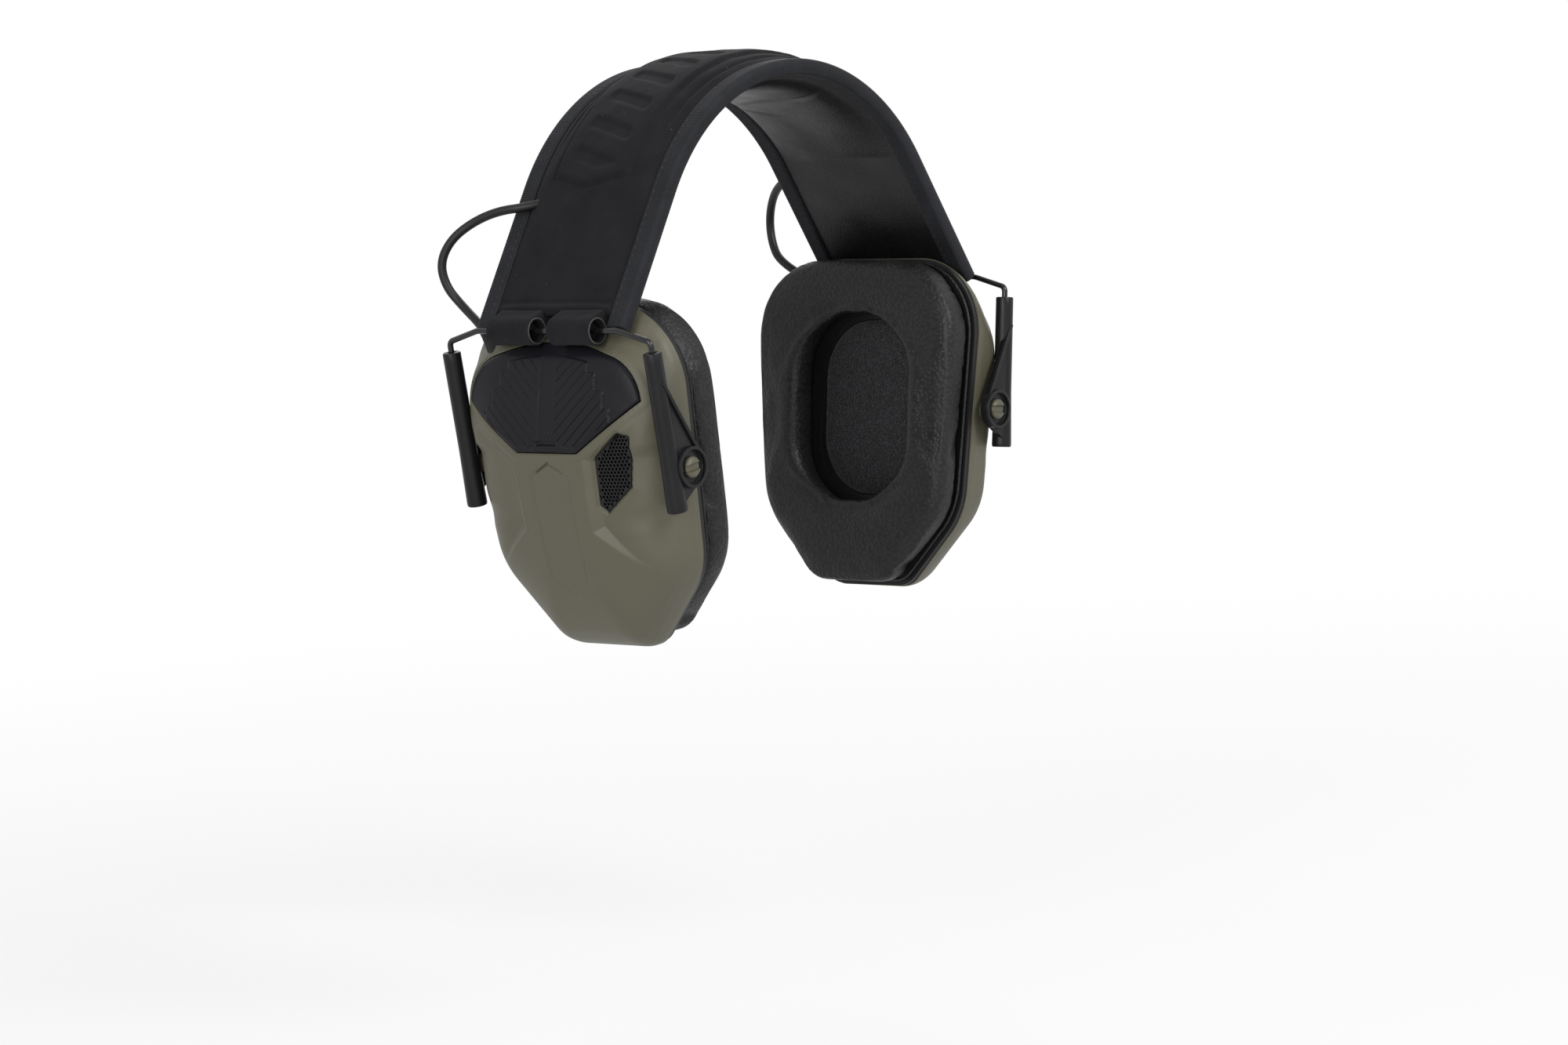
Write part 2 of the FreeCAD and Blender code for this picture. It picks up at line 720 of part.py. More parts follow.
def baffle_screws():
    head_x = rim_in + baffle_thick - screw_head_thick
    screws = []
    for y, z in post_places():
        head = rod(screw_head_radius, Vec(head_x, y, z), Vec(rim_in + baffle_thick, y, z))
        shank = rod(screw_radius, Vec(screw_end, y, z), Vec(head_x + 0.1, y, z))
        screws.append(fused([head, shank]))
    return Part.makeCompound(screws)


def cushion_ring():
    x0 = rim_in + baffle_thick
    foot = cup_bottom - ring_edge_in - cushion_foot_in
    plate = Part.Face(cup_outline(x0, cup_half - ring_edge_in, cup_top - ring_edge_in, foot))
    plate = plate.extrude(Vec(cushion_ring_thick, 0, 0))
    return plate.cut(oval(cushion_hole_half, cushion_hole_up, x0 - 1, x0 + 5))


def cushion():
    x0 = rim_in + baffle_thick + cushion_ring_thick
    shape = [(0.0, 2.6), (0.22, 0.5), (0.5, 0.0), (0.78, 2.2), (1.0, 8.0)]
    wires = []
    for share, pull in shape:
        inset = cushion_edge_in + pull
        foot = cup_bottom - cushion_foot_in - inset
        wires.append(cup_outline(x0 + share * cushion_thick, cup_half - inset, cup_top - inset, foot))
    body = Part.makeLoft(wires, True, False)
    return body.cut(oval(cushion_hole_half, cushion_hole_up, x0 - 1, x0 + cushion_thick + 1))


def foam_liner():
    return oval(baffle_hole_half - fit_gap, baffle_hole_up - fit_gap, rim_in, rim_in + foam_thick)


def speaker_place():
    return Vec(rim_in - 1.2, 0, -speaker_down)


def speaker():
    front = speaker_place()
    body = rod(speaker_radius, front, front + OUT * speaker_rim)
    magnet = rod(speaker_magnet, front + OUT * speaker_rim, front + OUT * speaker_thick)
    return fused([body, magnet])


def speaker_bracket():
    front = speaker_place()
    ring = rod(speaker_radius + bracket_rim, front, front + OUT * speaker_rim)
    low = -speaker_down - bracket_arm_half
    high = -speaker_down + bracket_arm_half
    arm = box(front.x - speaker_rim, front.x, -bracket_half, bracket_half, low, high)
    feet = [box(front.x, rim_in, bracket_half - 4.0, bracket_half, low, high),
            box(front.x, rim_in, -bracket_half, 4.0 - bracket_half, low, high)]
    whole = fused([ring, arm] + feet)
    return whole.cut(rod(speaker_radius + running_gap, front + Vec(1, 0, 0), front + OUT * 3.0))


def mic_place(skin):
    y, z = mic_at
    return Vec(-surface_out(y, z, skin) + mic_deep, y, z)


def mic_grille():
    return dome(grille_sunk).common(grille_outline(-0.15)).cut(dome(grille_sunk + grille_thick))


def mic_capsule(skin):
    front = mic_place(skin)
    return rod(mic_radius, front, front + Vec(mic_length, 0, 0))


def mic_boot(skin):
    front = mic_place(skin)
    outside = rod(mic_radius + mic_boot_wall, front, front + Vec(mic_length + mic_boot_back, 0, 0))
    return outside.cut(rod(mic_radius, front, front + Vec(mic_length, 0, 0)))


def cable_boot(skin):
    foot, tip = boot_foot, boot_tip
    along = (tip - foot).normalize()
    height = (tip - foot).Length + 3.0
    cone = Part.makeCone(boot_foot_radius, boot_tip_radius, height, foot - along * 3.0, along)
    plug = rod(lead_radius + 0.75, foot - along * 4.0, tip)
    whole = fused([cone.cut(skin), plug])
    whole = whole.cut(rod(lead_radius + fit_gap, foot - (tip - foot) * 0.9, tip + along))
    return whole.cut(hatch(-boot_side_gap))


# ---- what only the right cup holds
def cell_places():
    return [cell_low, cell_low + cell_pitch]


def battery_tray():
    half = cell_length / 2.0 + tray_end_room
    low = cell_places()[0] - cell_radius - 0.2
    high = cell_places()[1] + cell_radius + 0.2
    end = half + tray_end_room
    outside = box(-5.0, rim_in - 0.5, -end, end, low - tray_wall, high + tray_wall)
    inside = box(-8.0, cell_radius + 0.1, -half, half, low, high)
    return outside.cut(inside).common(dome(wall + 0.3))


def battery_cells():
    cells = []
    for z in cell_places():
        half = cell_length / 2.0
        can = rod(cell_radius, Vec(0, -half, z), Vec(0, half - cell_nub, z))
        nub = rod(cell_nub_radius, Vec(0, half - cell_nub, z), Vec(0, half, z))
        cells.append(fused([can, nub]))
    return Part.makeCompound(cells)


def battery_contacts():
    half = cell_length / 2.0
    low = cell_places()[0]
    high = cell_places()[1]
    near = half + 0.1
    back = half + tray_end_room
    wide = contact_half
    plate = box(-wide, wide, near, near + contact_thick, low - contact_up, high + contact_up)
    tab = box(-wide, wide, near + contact_thick, back, low, high)
    pieces = [fused([plate, tab])]
    far = back - 0.1 - contact_thick
    for z in cell_places():
        leaf = box(-wide, wide, -far - contact_thick, -far, z - contact_up, z + contact_up)
        coil = Part.makeCone(spring_radius, spring_tip_radius, far - near, Vec(0, -far, z), REAR)
        pieces.append(fused([leaf, coil]))
    return Part.makeCompound(pieces)


def top_cover():
    return dome(0.0).common(hatch(cover_gap)).cut(dome(wall))


def battery_cover():
    """Lift-off lid with two tongues that reach down beside the tray."""
    slot = box(-30, -10, -latch_half, latch_half, latch_low, latch_high).cut(dome(latch_deep))
    return top_cover().cut(slot)


# ---- what only the left cup holds
def key_places():
    return {
        "volume_up_key": (-volume_key_across, volume_key_up, volume_key_radius),
        "volume_down_key": (volume_key_across, volume_key_up, volume_key_radius),
        "power_key": (0.0, power_key_up, power_key_radius),
    }


def key(name, skin):
    y, z, radius = key_places()[name]
    out = surface_out(y, z, skin)
    root = Vec(-out + key_deep, y, z)
    cap = rod(radius, Vec(-out - key_proud, y, z), root)
    flange = rod(radius + key_flange, root + OUT * key_flange_thick, root)
    stem = rod(key_stem_radius, root, Vec(board_face_in - switch_tall - key_travel - 0.1, y, z))
    return fused([cap, flange, stem])


def circuit_board():
    back = board_face_in + board_thick
    board = box(board_face_in, back, -board_half, board_half, board_low, board_high)
    parts = [board]
    for y, z, radius in key_places().values():
        parts.append(box(board_face_in - switch_tall, board_face_in, y - switch_half, y + switch_half,
                         z - switch_half, z + switch_half))
    parts.append(box(back, rim_in, -23.0, -20.0, 20.0, 26.0))
    parts.append(box(back, rim_in, 22.2, board_half, 20.0, 26.0))
    return fused(parts)


def control_cover(skin):
    lid = top_cover()
    holes = []
    for y, z, radius in key_places().values():
        holes.append(rod(radius + cover_gap, Vec(-30, y, z), Vec(0, y, z)))
    return cut(lid, *holes)


def jack_mouth():
    return Vec(jack_in, jack_across, -(cup_bottom - jack_recess))


def aux_jack():
    mouth = jack_mouth()
    barrel = rod(jack_outer, mouth, mouth + Vec(0, 0, jack_length))
    return barrel.cut(rod(jack_radius, mouth - Vec(0, 0, 1), mouth + Vec(0, 0, jack_length + 1)))


# ---- the whole headset
def common_cup_nodes(skin, hollow, holes):
    return {
        "cup_shell": cup_shell(skin, hollow, holes),
        "baffle_plate": baffle_plate(),
        "baffle_screws": baffle_screws(),
        "cushion_ring": cushion_ring(),
        "cushion": cushion(),
        "foam_liner": foam_liner(),
        "speaker": speaker(),
        "speaker_bracket": speaker_bracket(),
        "mic_grille": mic_grille(),
        "mic_capsule": mic_capsule(skin),
        "mic_boot": mic_boot(skin),
        "cable_boot": cable_boot(skin),
        "stirrup_wire": stirrup_wire(),
        "rear_slider_arm": slider_arm(),
        "front_slider_arm": mirrored_y(slider_arm()),
    }


def build():
    skin = dome(0.0)
    hollow = dome(wall, rim_in + 1.0)
    nodes = {
        "headband_cover": headband_cover(),
        "headband_core": headband_core(),
        "headband_pad": headband_pad(),
        "rear_edge_binding": edge_binding(),
        "front_edge_binding": mirrored_y(edge_binding()),
        "right_hinge_loops": hinge_loops(),
        "left_hinge_loops": mirrored(hinge_loops()),
        "headband_lead": headband_lead(),
    }
    for name, tube in zip(("upper", "middle", "lower"), lead_pieces()):
        nodes["right_lead_" + name] = tube
        nodes["left_lead_" + name] = mirrored(tube)
    for name, shape in common_cup_nodes(skin, hollow, []).items():
        nodes["right_" + name] = on_right(shape)
    jack_hole = rod(jack_outer + 0.1, jack_mouth() - Vec(0, 0, 6), jack_mouth() + Vec(0, 0, 11))
    for name, shape in common_cup_nodes(skin, hollow, [jack_hole]).items():
        nodes["left_" + name] = mirrored(on_right(shape))
    nodes["battery_cover"] = on_right(battery_cover())
    nodes["battery_tray"] = on_right(battery_tray())
    nodes["battery_cells"] = on_right(battery_cells())
    nodes["battery_contacts"] = on_right(battery_contacts())
    nodes["control_cover"] = mirrored(on_right(control_cover(skin)))
    nodes["circuit_board"] = mirrored(on_right(circuit_board()))
    nodes["aux_jack"] = mirrored(on_right(aux_jack()))
    for name in key_places():
        nodes[name] = mirrored(on_right(key(name, skin)))
    return nodes


os.makedirs("parts", exist_ok=True)
for node, shape in build().items():
    if not shape.isValid() or not shape.Solids:
        print("NOT VALID", node, shape.ShapeType, len(shape.Solids))
    shape.exportStep("parts/%s.step" % node)
print("hinge", hinge_point, "pivot", pivot_point)
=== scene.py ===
import json
import math
import bmesh
import bpy
import numpy as np
from mathutils import Matrix, Vector, noise
from mathutils.bvhtree import BVHTree


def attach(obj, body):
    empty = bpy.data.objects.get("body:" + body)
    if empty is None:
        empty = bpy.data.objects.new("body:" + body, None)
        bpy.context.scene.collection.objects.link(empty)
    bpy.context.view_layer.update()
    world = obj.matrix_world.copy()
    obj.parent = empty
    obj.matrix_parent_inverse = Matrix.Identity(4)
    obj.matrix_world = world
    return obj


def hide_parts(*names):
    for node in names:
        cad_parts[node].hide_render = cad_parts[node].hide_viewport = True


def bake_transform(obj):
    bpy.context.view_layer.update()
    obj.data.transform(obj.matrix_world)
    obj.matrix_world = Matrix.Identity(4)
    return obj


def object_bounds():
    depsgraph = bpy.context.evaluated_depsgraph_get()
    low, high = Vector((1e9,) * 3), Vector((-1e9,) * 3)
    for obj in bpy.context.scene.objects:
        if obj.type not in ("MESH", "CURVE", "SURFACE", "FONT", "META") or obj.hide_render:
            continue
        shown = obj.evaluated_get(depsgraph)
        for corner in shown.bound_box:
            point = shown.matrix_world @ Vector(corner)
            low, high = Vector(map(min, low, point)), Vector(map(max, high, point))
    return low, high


# Folding hearing-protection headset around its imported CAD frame. Geometry helpers work in
# millimetres in the part's own frame, and meshes are written in metres. The right side is
# built, and the left side is its mirror image, apart from what only one cup holds.
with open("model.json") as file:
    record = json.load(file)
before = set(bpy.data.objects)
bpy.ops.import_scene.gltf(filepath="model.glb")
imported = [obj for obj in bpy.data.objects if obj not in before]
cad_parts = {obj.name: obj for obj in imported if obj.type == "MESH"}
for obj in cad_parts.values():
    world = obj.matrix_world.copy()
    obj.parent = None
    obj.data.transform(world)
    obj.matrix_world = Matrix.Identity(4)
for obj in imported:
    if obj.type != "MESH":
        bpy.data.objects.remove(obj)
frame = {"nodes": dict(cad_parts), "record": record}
cad_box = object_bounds()
MM = 0.001
joints = {joint["name"]: joint for joint in frame["record"]["behaviour"]["joints"]}

# ---- headband sizes, in millimetres
band_radius = 78.0
arch_z = -68.0
leg_turn = math.radians(58.0)
band_leg = 52.8
band_half = 32.5
arc_run = band_radius * leg_turn
binding_thick = 0.8
binding_strip = 7.0
cover_in = 2.4
pad_base_in = 4.4
band_edge_in = 5.2
binding_end = arc_run + band_leg - 1.6
seam_run = arc_run + band_leg - 6.6
cover_swell = 4.0
panel_half = 16.0
panel_rise = 1.0
panel_end = 76.5
panel_point = 4.0
pad_crown_in = 10.0
rib_pitch = 0.8
rib_rise = 0.2
stitch_pitch = 2.9

# ---- loops, leads and cup sizes, in millimetres
loop_radius = 4.75
loop_hole = 3.6
loop_face = -0.3
loop_inner_end = 4.0
loop_outer_end = 22.5
lead_radius = 1.5
lean = math.radians(7.67)
rim_in = 7.0
wall = 2.2
cup_half = 46.0
cup_waist = 39.8
cup_waist_down = 37.0
cup_foot = 16.8
cup_top = 52.5
cup_bottom = 63.0
cup_corner = 26.0
cup_waist_round = 27.0
cup_foot_round = 9.0
cushion_base = 10.2
cushion_thick = 13.8
cushion_centre = (0.0, -3.0)
stud_radius = 3.35
stud_slit_half = 1.15
tube_radius = 3.05
tube_out = 6.83
tube_half_spacing = 44.4
web_face = 45.1
web_thick = 1.8
ring_out = 48.4
ring_radius = 6.85
pivot = Vector(joints["right_tilt"]["pos_m"]) / MM
hinge = Vector(joints["right_fold"]["pos_m"]) / MM
origin = (0.0, 0.0)
side_axis = Vector((1.0, 0.0, 0.0))
front_axis = Vector((0.0, 1.0, 0.0))


# ---- small tools
def smoothstep(low, high, value):
    share = np.clip((np.asarray(value, float) - low) / (high - low), 0.0, 1.0)
    return share * share * (3.0 - 2.0 * share)


def ridge(distance, width):
    """A smooth ridge, one high where the distance is nought."""
    return np.exp(-(distance / width) ** 2)


def xyz(x, y, z):
    """Points from their three coordinates, however these are shaped."""
    return np.stack(np.broadcast_arrays(x, y, z), axis=-1)


def around(centre, reach, turns):
    """The two coordinates of places round a centre."""
    return centre[0] + reach * np.cos(turns), centre[1] + reach * np.sin(turns)


def new_object(name, data):
    """An object with its mesh, curve, lamp or camera, linked into the scene."""
    made = bpy.data.objects.new(name, data)
    bpy.context.scene.collection.objects.link(made)
    return made


def fresh_mesh(name, points, faces):
    mesh = bpy.data.meshes.new(name)
    mesh.from_pydata((np.asarray(points, float) * MM).tolist(), [], faces)
    mesh.update()
    return mesh


def tidy_normals(mesh):
    bm = bmesh.new()
    bm.from_mesh(mesh)
    bmesh.ops.remove_doubles(bm, verts=bm.verts, dist=1e-6)
    bmesh.ops.recalc_face_normals(bm, faces=bm.faces)
    bm.to_mesh(mesh)
    bm.free()


def add_piece(name, mesh, finish, body=None, nodes=(), sharp=40.0):
    """One visible piece: its mesh, material, the body it rides on and what it replaces."""
    tidy_normals(mesh)
    piece = new_object(name, mesh)
    mesh.materials.append(finish)
    mesh.shade_smooth()
    mesh.set_sharp_from_angle(angle=math.radians(sharp))
    if body:
        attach(piece, body)
    if nodes:
        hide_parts(*nodes)
    return piece


def mirrored(mesh, name, axis=side_axis):
    """A copy of the mesh, mirrored left to right or front to rear, without its materials."""
    copy = mesh.copy()
    copy.name = name
    copy.materials.clear()
    copy.transform(Matrix.Scale(-1.0, 4, axis))
    copy.flip_normals()
    return copy


def both_sides(name, mesh, finish, body, nodes=(), sharp=40.0):
    """The right piece and its mirror image on the left."""
    meshes = {"right_": mesh, "left_": mirrored(mesh, "left_" + name)}
    return [add_piece(side + name + "_look", shape, finish, side + body,
                      [side + node for node in nodes], sharp) for side, shape in meshes.items()]


def grid_faces(rows, columns, wrap_rows=False, wrap_columns=False, first=0, flip=False):
    faces = []
    for i in range(rows if wrap_rows else rows - 1):
        for j in range(columns if wrap_columns else columns - 1):
            a = first + i * columns + j
            b = first + i * columns + (j + 1) % columns
            c = first + ((i + 1) % rows) * columns + (j + 1) % columns
            d = first + ((i + 1) % rows) * columns + j
            faces.append((d, c, b, a) if flip else (a, b, c, d))
    return faces


def sheet_solid(outer, inner):
    """A closed solid between two grids of points of the same size."""
    rows, columns = outer.shape[:2]
    count = rows * columns
    points = np.concatenate([outer.reshape(-1, 3), inner.reshape(-1, 3)])
    faces = grid_faces(rows, columns) + grid_faces(rows, columns, first=count, flip=True)
    border = [j for j in range(columns)]
    border += [i * columns + columns - 1 for i in range(1, rows)]
    border += [(rows - 1) * columns + j for j in range(columns - 2, -1, -1)]
    border += [i * columns for i in range(rows - 2, 0, -1)]
    for a, b in zip(border, border[1:] + border[:1]):
        faces.append((b, a, a + count, b + count))
    return points, faces


def joined(*parts):
    """Several (points, faces) solids as one."""
    points = []
    faces = []
    for more, sides in parts:
        shift = sum(len(p) for p in points)
        faces += [tuple(k + shift for k in face) for face in sides]
        points.append(np.asarray(more, float).reshape(-1, 3))
    return np.concatenate(points), faces


def capped(sections):
    """A solid through closed sections, each a row of points, with its two ends closed."""
    rows, columns = sections.shape[:2]
    faces = grid_faces(rows, columns, wrap_columns=True)
    faces.append(tuple(range(columns - 1, -1, -1)))
    faces.append(tuple((rows - 1) * columns + j for j in range(columns)))
    return sections.reshape(-1, 3), faces


def ring_solid(sections):
    """A closed ring from closed sections."""
    rows, columns = sections.shape[:2]
    return sections.reshape(-1, 3), grid_faces(rows, columns, wrap_rows=True, wrap_columns=True)


def rough(points, size, seed):
    """Soft noise between -1 and 1 at each point, with bumps of about the given size."""
    shift = Vector((seed * 7.3, seed * 3.1, seed * 5.7))
    values = [noise.noise(Vector(p) / size + shift) for p in points.reshape(-1, 3)]
    return np.array(values).reshape(points.shape[:-1])


def segment_distance(y, z, start, end):
    along = (end[0] - start[0], end[1] - start[1])
    square = along[0] ** 2 + along[1] ** 2
    share = np.clip(((y - start[0]) * along[0] + (z - start[1]) * along[1]) / square, 0.0, 1.0)
    return np.hypot(y - start[0] - share * along[0], z - start[1] - share * along[1])


def line_distance(y, z, corners):
    pairs = list(zip(corners, corners[1:]))
    return np.min([segment_distance(y, z, a, b) for a, b in pairs], axis=0)


def polygon_depth(y, z, corners):
    """Distance to a polygon's outline, positive inside it."""
    inside = np.zeros(np.shape(y), bool)
    closed = corners + corners[:1]
    for (y0, z0), (y1, z1) in zip(closed, closed[1:]):
        if z0 == z1:
            continue
        crosses = ((z0 > z) != (z1 > z)) & (y < (y1 - y0) * (z - z0) / (z1 - z0) + y0)
        inside ^= crosses
    away = line_distance(y, z, closed)
    return np.where(inside, away, -away)


def rounded_outline(corners, radii, steps=14):
    """The points of a polygon with each corner rounded."""
    points = []
    count = len(corners)
    for i in range(count):
        corner = np.array(corners[i], float)
        back = np.array(corners[i - 1], float) - corner
        ahead = np.array(corners[(i + 1) % count], float) - corner
        back /= np.linalg.norm(back)
        ahead /= np.linalg.norm(ahead)
        half = math.acos(np.clip(back.dot(ahead), -1.0, 1.0)) / 2.0
        middle = (back + ahead) / np.linalg.norm(back + ahead)
        centre = corner + middle * (radii[i] / math.sin(half))
        first = corner + back * (radii[i] / math.tan(half)) - centre
        last = corner + ahead * (radii[i] / math.tan(half)) - centre
        for k in range(steps + 1):
            share = k / steps
            point = first * (1.0 - share) + last * share
            points.append(centre + point / np.linalg.norm(point) * radii[i])
    return np.array(points)


def radius_at(outline, centre, turns):
    """How far a star-shaped outline lies from its centre in each direction."""
    offset = outline - np.array(centre)
    angle = np.arctan2(offset[:, 1], offset[:, 0])
    order = np.argsort(angle)
    angle = np.concatenate([angle[order] - 2 * math.pi, angle[order], angle[order] + 2 * math.pi])
    reach = np.tile(np.hypot(offset[:, 0], offset[:, 1])[order], 3)
    place = np.searchsorted(angle, turns)
    near, far = reach[place - 1], reach[place]
    span = np.maximum(angle[place] - angle[place - 1], 1e-9)
    past = turns - angle[place - 1]
    return near * far * np.sin(span) / (near * np.sin(past) + far * np.sin(span - past))


# ---- places on the band and on the cup's bench
def band_points(s, y, depth):
    """Points of the band: s along its outer face from the crown, positive to the right."""
    side = np.where(s >= 0, -1.0, 1.0)
    turn = np.minimum(np.abs(s) / band_radius, leg_turn)
    run = np.maximum(np.abs(s) - arc_run, 0.0)
    reach = band_radius - depth
    x = side * (reach * np.sin(turn) + run * math.cos(leg_turn))
    z = arch_z + reach * np.cos(turn) - run * math.sin(leg_turn)
    return xyz(x, y, z)


def on_right(points):
    """Bench points (X towards the head, Z along the slider tubes) in the part's frame."""
    points = np.asarray(points, float)
    x, y, z = points[..., 0], points[..., 1], points[..., 2]
    return xyz(pivot.x + x * math.cos(lean) - z * math.sin(lean), y,
               pivot.z + x * math.sin(lean) + z * math.cos(lean))


def from_hinge(run, depth, y):
    """A point beside the right fold axis: run on along the leg, depth towards the head."""
    x = hinge.x - run * math.cos(leg_turn) + depth * math.sin(leg_turn)
    z = hinge.z - run * math.sin(leg_turn) - depth * math.cos(leg_turn)
    return xyz(x, y, z)


# ---- headband
def cover_swells(s, y):
    """How far the padded cover stands out of the band's plain face."""
    away = np.abs(s)
    across = 1.0 - np.clip(np.abs(y) / 25.5, 0.0, 1.0) ** 4
    along = 1.0 - 0.72 * smoothstep(84.0, 124.0, away)
    swell = cover_swell * along * across
    quilt = smoothstep(72.0, 50.0, away)
    swell -= 0.9 * quilt * ridge(np.abs(y) - 21.0, 0.75)
    end = panel_end + panel_point * (1.0 - np.abs(y) / panel_half)
    inside = np.minimum((panel_half - np.abs(y)), (end - away) * 0.96)
    swell += panel_rise * smoothstep(-0.2, 1.3, inside)
    swell -= 0.35 * ridge(inside + 0.5, 0.7)
    return swell + emboss_rise(s, y, inside)


def emboss_rise(s, y, inside):
    """Plain slanted bars pressed into the raised panel."""
    pitch = 13.0
    slant = s + 0.32 * y
    place = (slant / pitch) % 1.0 * pitch - pitch / 2.0
    bar = 3.0 - np.hypot(place, np.maximum(np.abs(y) - 8.0, 0.0))
    return -0.9 * smoothstep(-0.5, 1.5, bar) * smoothstep(3.0, 7.0, inside)


def band_rows(end, step):
    return np.linspace(-end, end, int(2 * end / step) + 1)


def cover_mesh():
    s, y = np.meshgrid(band_rows(seam_run, 0.75), np.linspace(-31.5, 31.5, 127), indexing="ij")
    flat = band_points(s, y, 0.0)
    wrinkle = rough(flat, 9.0, 1) * 0.22 + rough(flat, 3.4, 2) * 0.07
    bulge = cover_swells(s, y)
    soft = smoothstep(25.4, 23.0, np.abs(y))
    hem = seam_run - np.abs(s)
    bulge += 0.5 * ridge(hem - 1.6, 1.0) * soft - 0.5 * ridge(hem - 3.6, 0.6) * soft
    round_end = 0.9 * (1.0 - np.sqrt(1.0 - (1.0 - np.clip(hem / 1.4, 0.0, 1.0)) ** 2))
    outer = band_points(s, y, binding_thick - bulge - wrinkle * soft + round_end)
    inner = band_points(s, y, cover_in - 0.1)
    return fresh_mesh("cover", *sheet_solid(outer, inner))


def pad_mesh():
    s, y = np.meshgrid(band_rows(seam_run, 1.1), np.linspace(-31.5, 31.5, 85), indexing="ij")
    away = np.abs(s) / (band_radius * math.radians(56.0))
    along = np.clip(1.0 - away ** 2, 0.0, 1.0) ** 0.8
    across = np.clip(1.0 - (np.abs(y) / 25.6) ** 5, 0.0, 1.0) ** 0.6
    thick = (pad_crown_in - pad_base_in) * along * across
    crease = np.zeros(s.shape)
    for place, depth, drift in ((-46, 0.5, 0.2), (-31, 0.6, -0.15), (-14, 0.4, 0.1), (9, 0.5, -0.2),
                                (24, 0.65, 0.12), (38, 0.5, -0.1), (52, 0.4, 0.15)):
        line = s - place - drift * y - 1.5 * np.sin(y * 0.16 + place)
        crease += depth * ridge(line, 1.2) * (0.5 + 0.5 * np.cos(y * 0.09 + place))
    flat = band_points(s, y, 0.0)
    thick += (rough(flat, 14.0, 5) * 0.35 - crease) * across
    inner = band_points(s, y, pad_base_in + thick)
    outer = band_points(s, y, cover_in)
    return fresh_mesh("pad", *sheet_solid(outer, inner))


def binding_mesh():
    """Ribbed ribbon folded round the rear edge of the band."""
    inner_edge = band_half - binding_strip
    outside = [(inner_edge, 0.55), (inner_edge + 0.15, 0.2), (inner_edge + 0.5, 0.05)]
    outside += [(y, 0.0) for y in np.linspace(inner_edge + 1.2, band_half - 1.4, 8)]
    middle = band_edge_in / 2.0
    turns = np.linspace(-math.pi / 2, math.pi / 2, 11)
    bend = [(band_half - 1.4 + 1.4 * math.cos(t), middle + middle * math.sin(t)) for t in turns]
    inside = [(y, band_edge_in) for y in np.linspace(band_half - 2.0, inner_edge + 0.6, 7)]
    back = [(inner_edge, band_edge_in - 0.3), (inner_edge, pad_base_in), (band_half - 1.6, pad_base_in),
            (band_half - 1.6, binding_thick), (inner_edge, binding_thick)]
    path = np.array(outside + bend + inside + back)
    ribbed = np.ones(len(path))
    ribbed[-5:] = 0.0
    ribbed[0] = 0.0
    rows = band_rows(binding_end, rib_pitch / 5.0)
    rise = rib_rise * np.abs(np.cos(math.pi * rows / rib_pitch))
    groove = 0.16 * ridge(path[:, 0] - inner_edge - 1.5, 0.35) * (path[:, 1] < 1.0)
    outward = np.stack([np.clip(path[:, 0] - band_half + 1.4, 0.0, 1.4) / 1.4,
                        np.clip((middle - path[:, 1]) / middle, -1.0, 1.0)], axis=-1)
    s = rows[:, None]
    lift = (rise[:, None] - 0.08) * ribbed[None, :] - groove[None, :]
    y = path[None, :, 0] + lift * outward[None, :, 0]
    depth = path[None, :, 1] - lift * outward[None, :, 1]
    return fresh_mesh("binding", *capped(band_points(s + 0.0 * y, y, depth)))


def stitches_mesh():
    """A row of stitches along the rear binding's outer strip, and one along its inner strip."""
    y = band_half - binding_strip + 1.5
    along = np.linspace(-0.85, 0.85, 7)
    swell = np.sqrt(np.clip(1.0 - (along / 0.9) ** 2, 0.05, 1.0)) * 0.24
    turns = np.linspace(0.0, 2 * math.pi, 7)[:-1]
    stitches = []
    for depth, sign in ((0.0, 1.0), (band_edge_in, -1.0)):
        for s in np.arange(-binding_end + 3.0, binding_end - 3.0, stitch_pitch):
            stitches.append(capped(np.array([
                [band_points(np.array(s + a), y + r * math.cos(t) * 1.1, depth - sign * r * math.sin(t))
                 for t in turns] for a, r in zip(along, swell)])))
    return fresh_mesh("stitches", *joined(*stitches))


def loop_mesh(y0, y1):
    """One cloth loop at the right end of the band: it leaves the face flush and rolls under."""
    turns = np.linspace(-math.pi, math.pi, 145)[:-1]
    circle = [(loop_radius * math.cos(t), loop_radius * math.sin(t)) for t in turns]
    tail = [(-7.4, loop_face), (-7.4, 4.3)]
    reach = radius_at(hull(circle + tail), (0.0, 0.0), turns)
    seam = smoothstep(5.4, 6.6, reach)
    length = y1 - y0
    section = [(0.0, 0.5), (0.04, 0.26), (0.14, 0.1), (0.32, 0.0)]
    along = [a for a, dip in section] + list(np.linspace(1.0, length - 1.0, 40))
    along += [length - a for a, dip in section[::-1]]
    dips = [dip for a, dip in section] + [0.0] * 40 + [dip for a, dip in section[::-1]]
    outer = np.array([[(reach[k] - dip, t, a) for k, t in enumerate(turns)] for a, dip in zip(along, dips)])
    places = xyz(*around(origin, outer[..., 0], outer[..., 1]), outer[..., 2])
    soft = rough(places, 7.0, 21) * 0.3
    fade = smoothstep(0.0, 2.0, np.minimum(outer[..., 2], length - outer[..., 2]))
    outer[..., 0] += (soft - 0.12) * (1.0 - seam) * fade
    inner = np.array([[(loop_hole + dip * 0.5, t, a) for t in turns] for a, dip in zip(along, dips)])[::-1]
    polar = np.concatenate([outer, inner])
    return ring_solid(from_hinge(*around(origin, polar[..., 0], polar[..., 1]), y0 + polar[..., 2]))


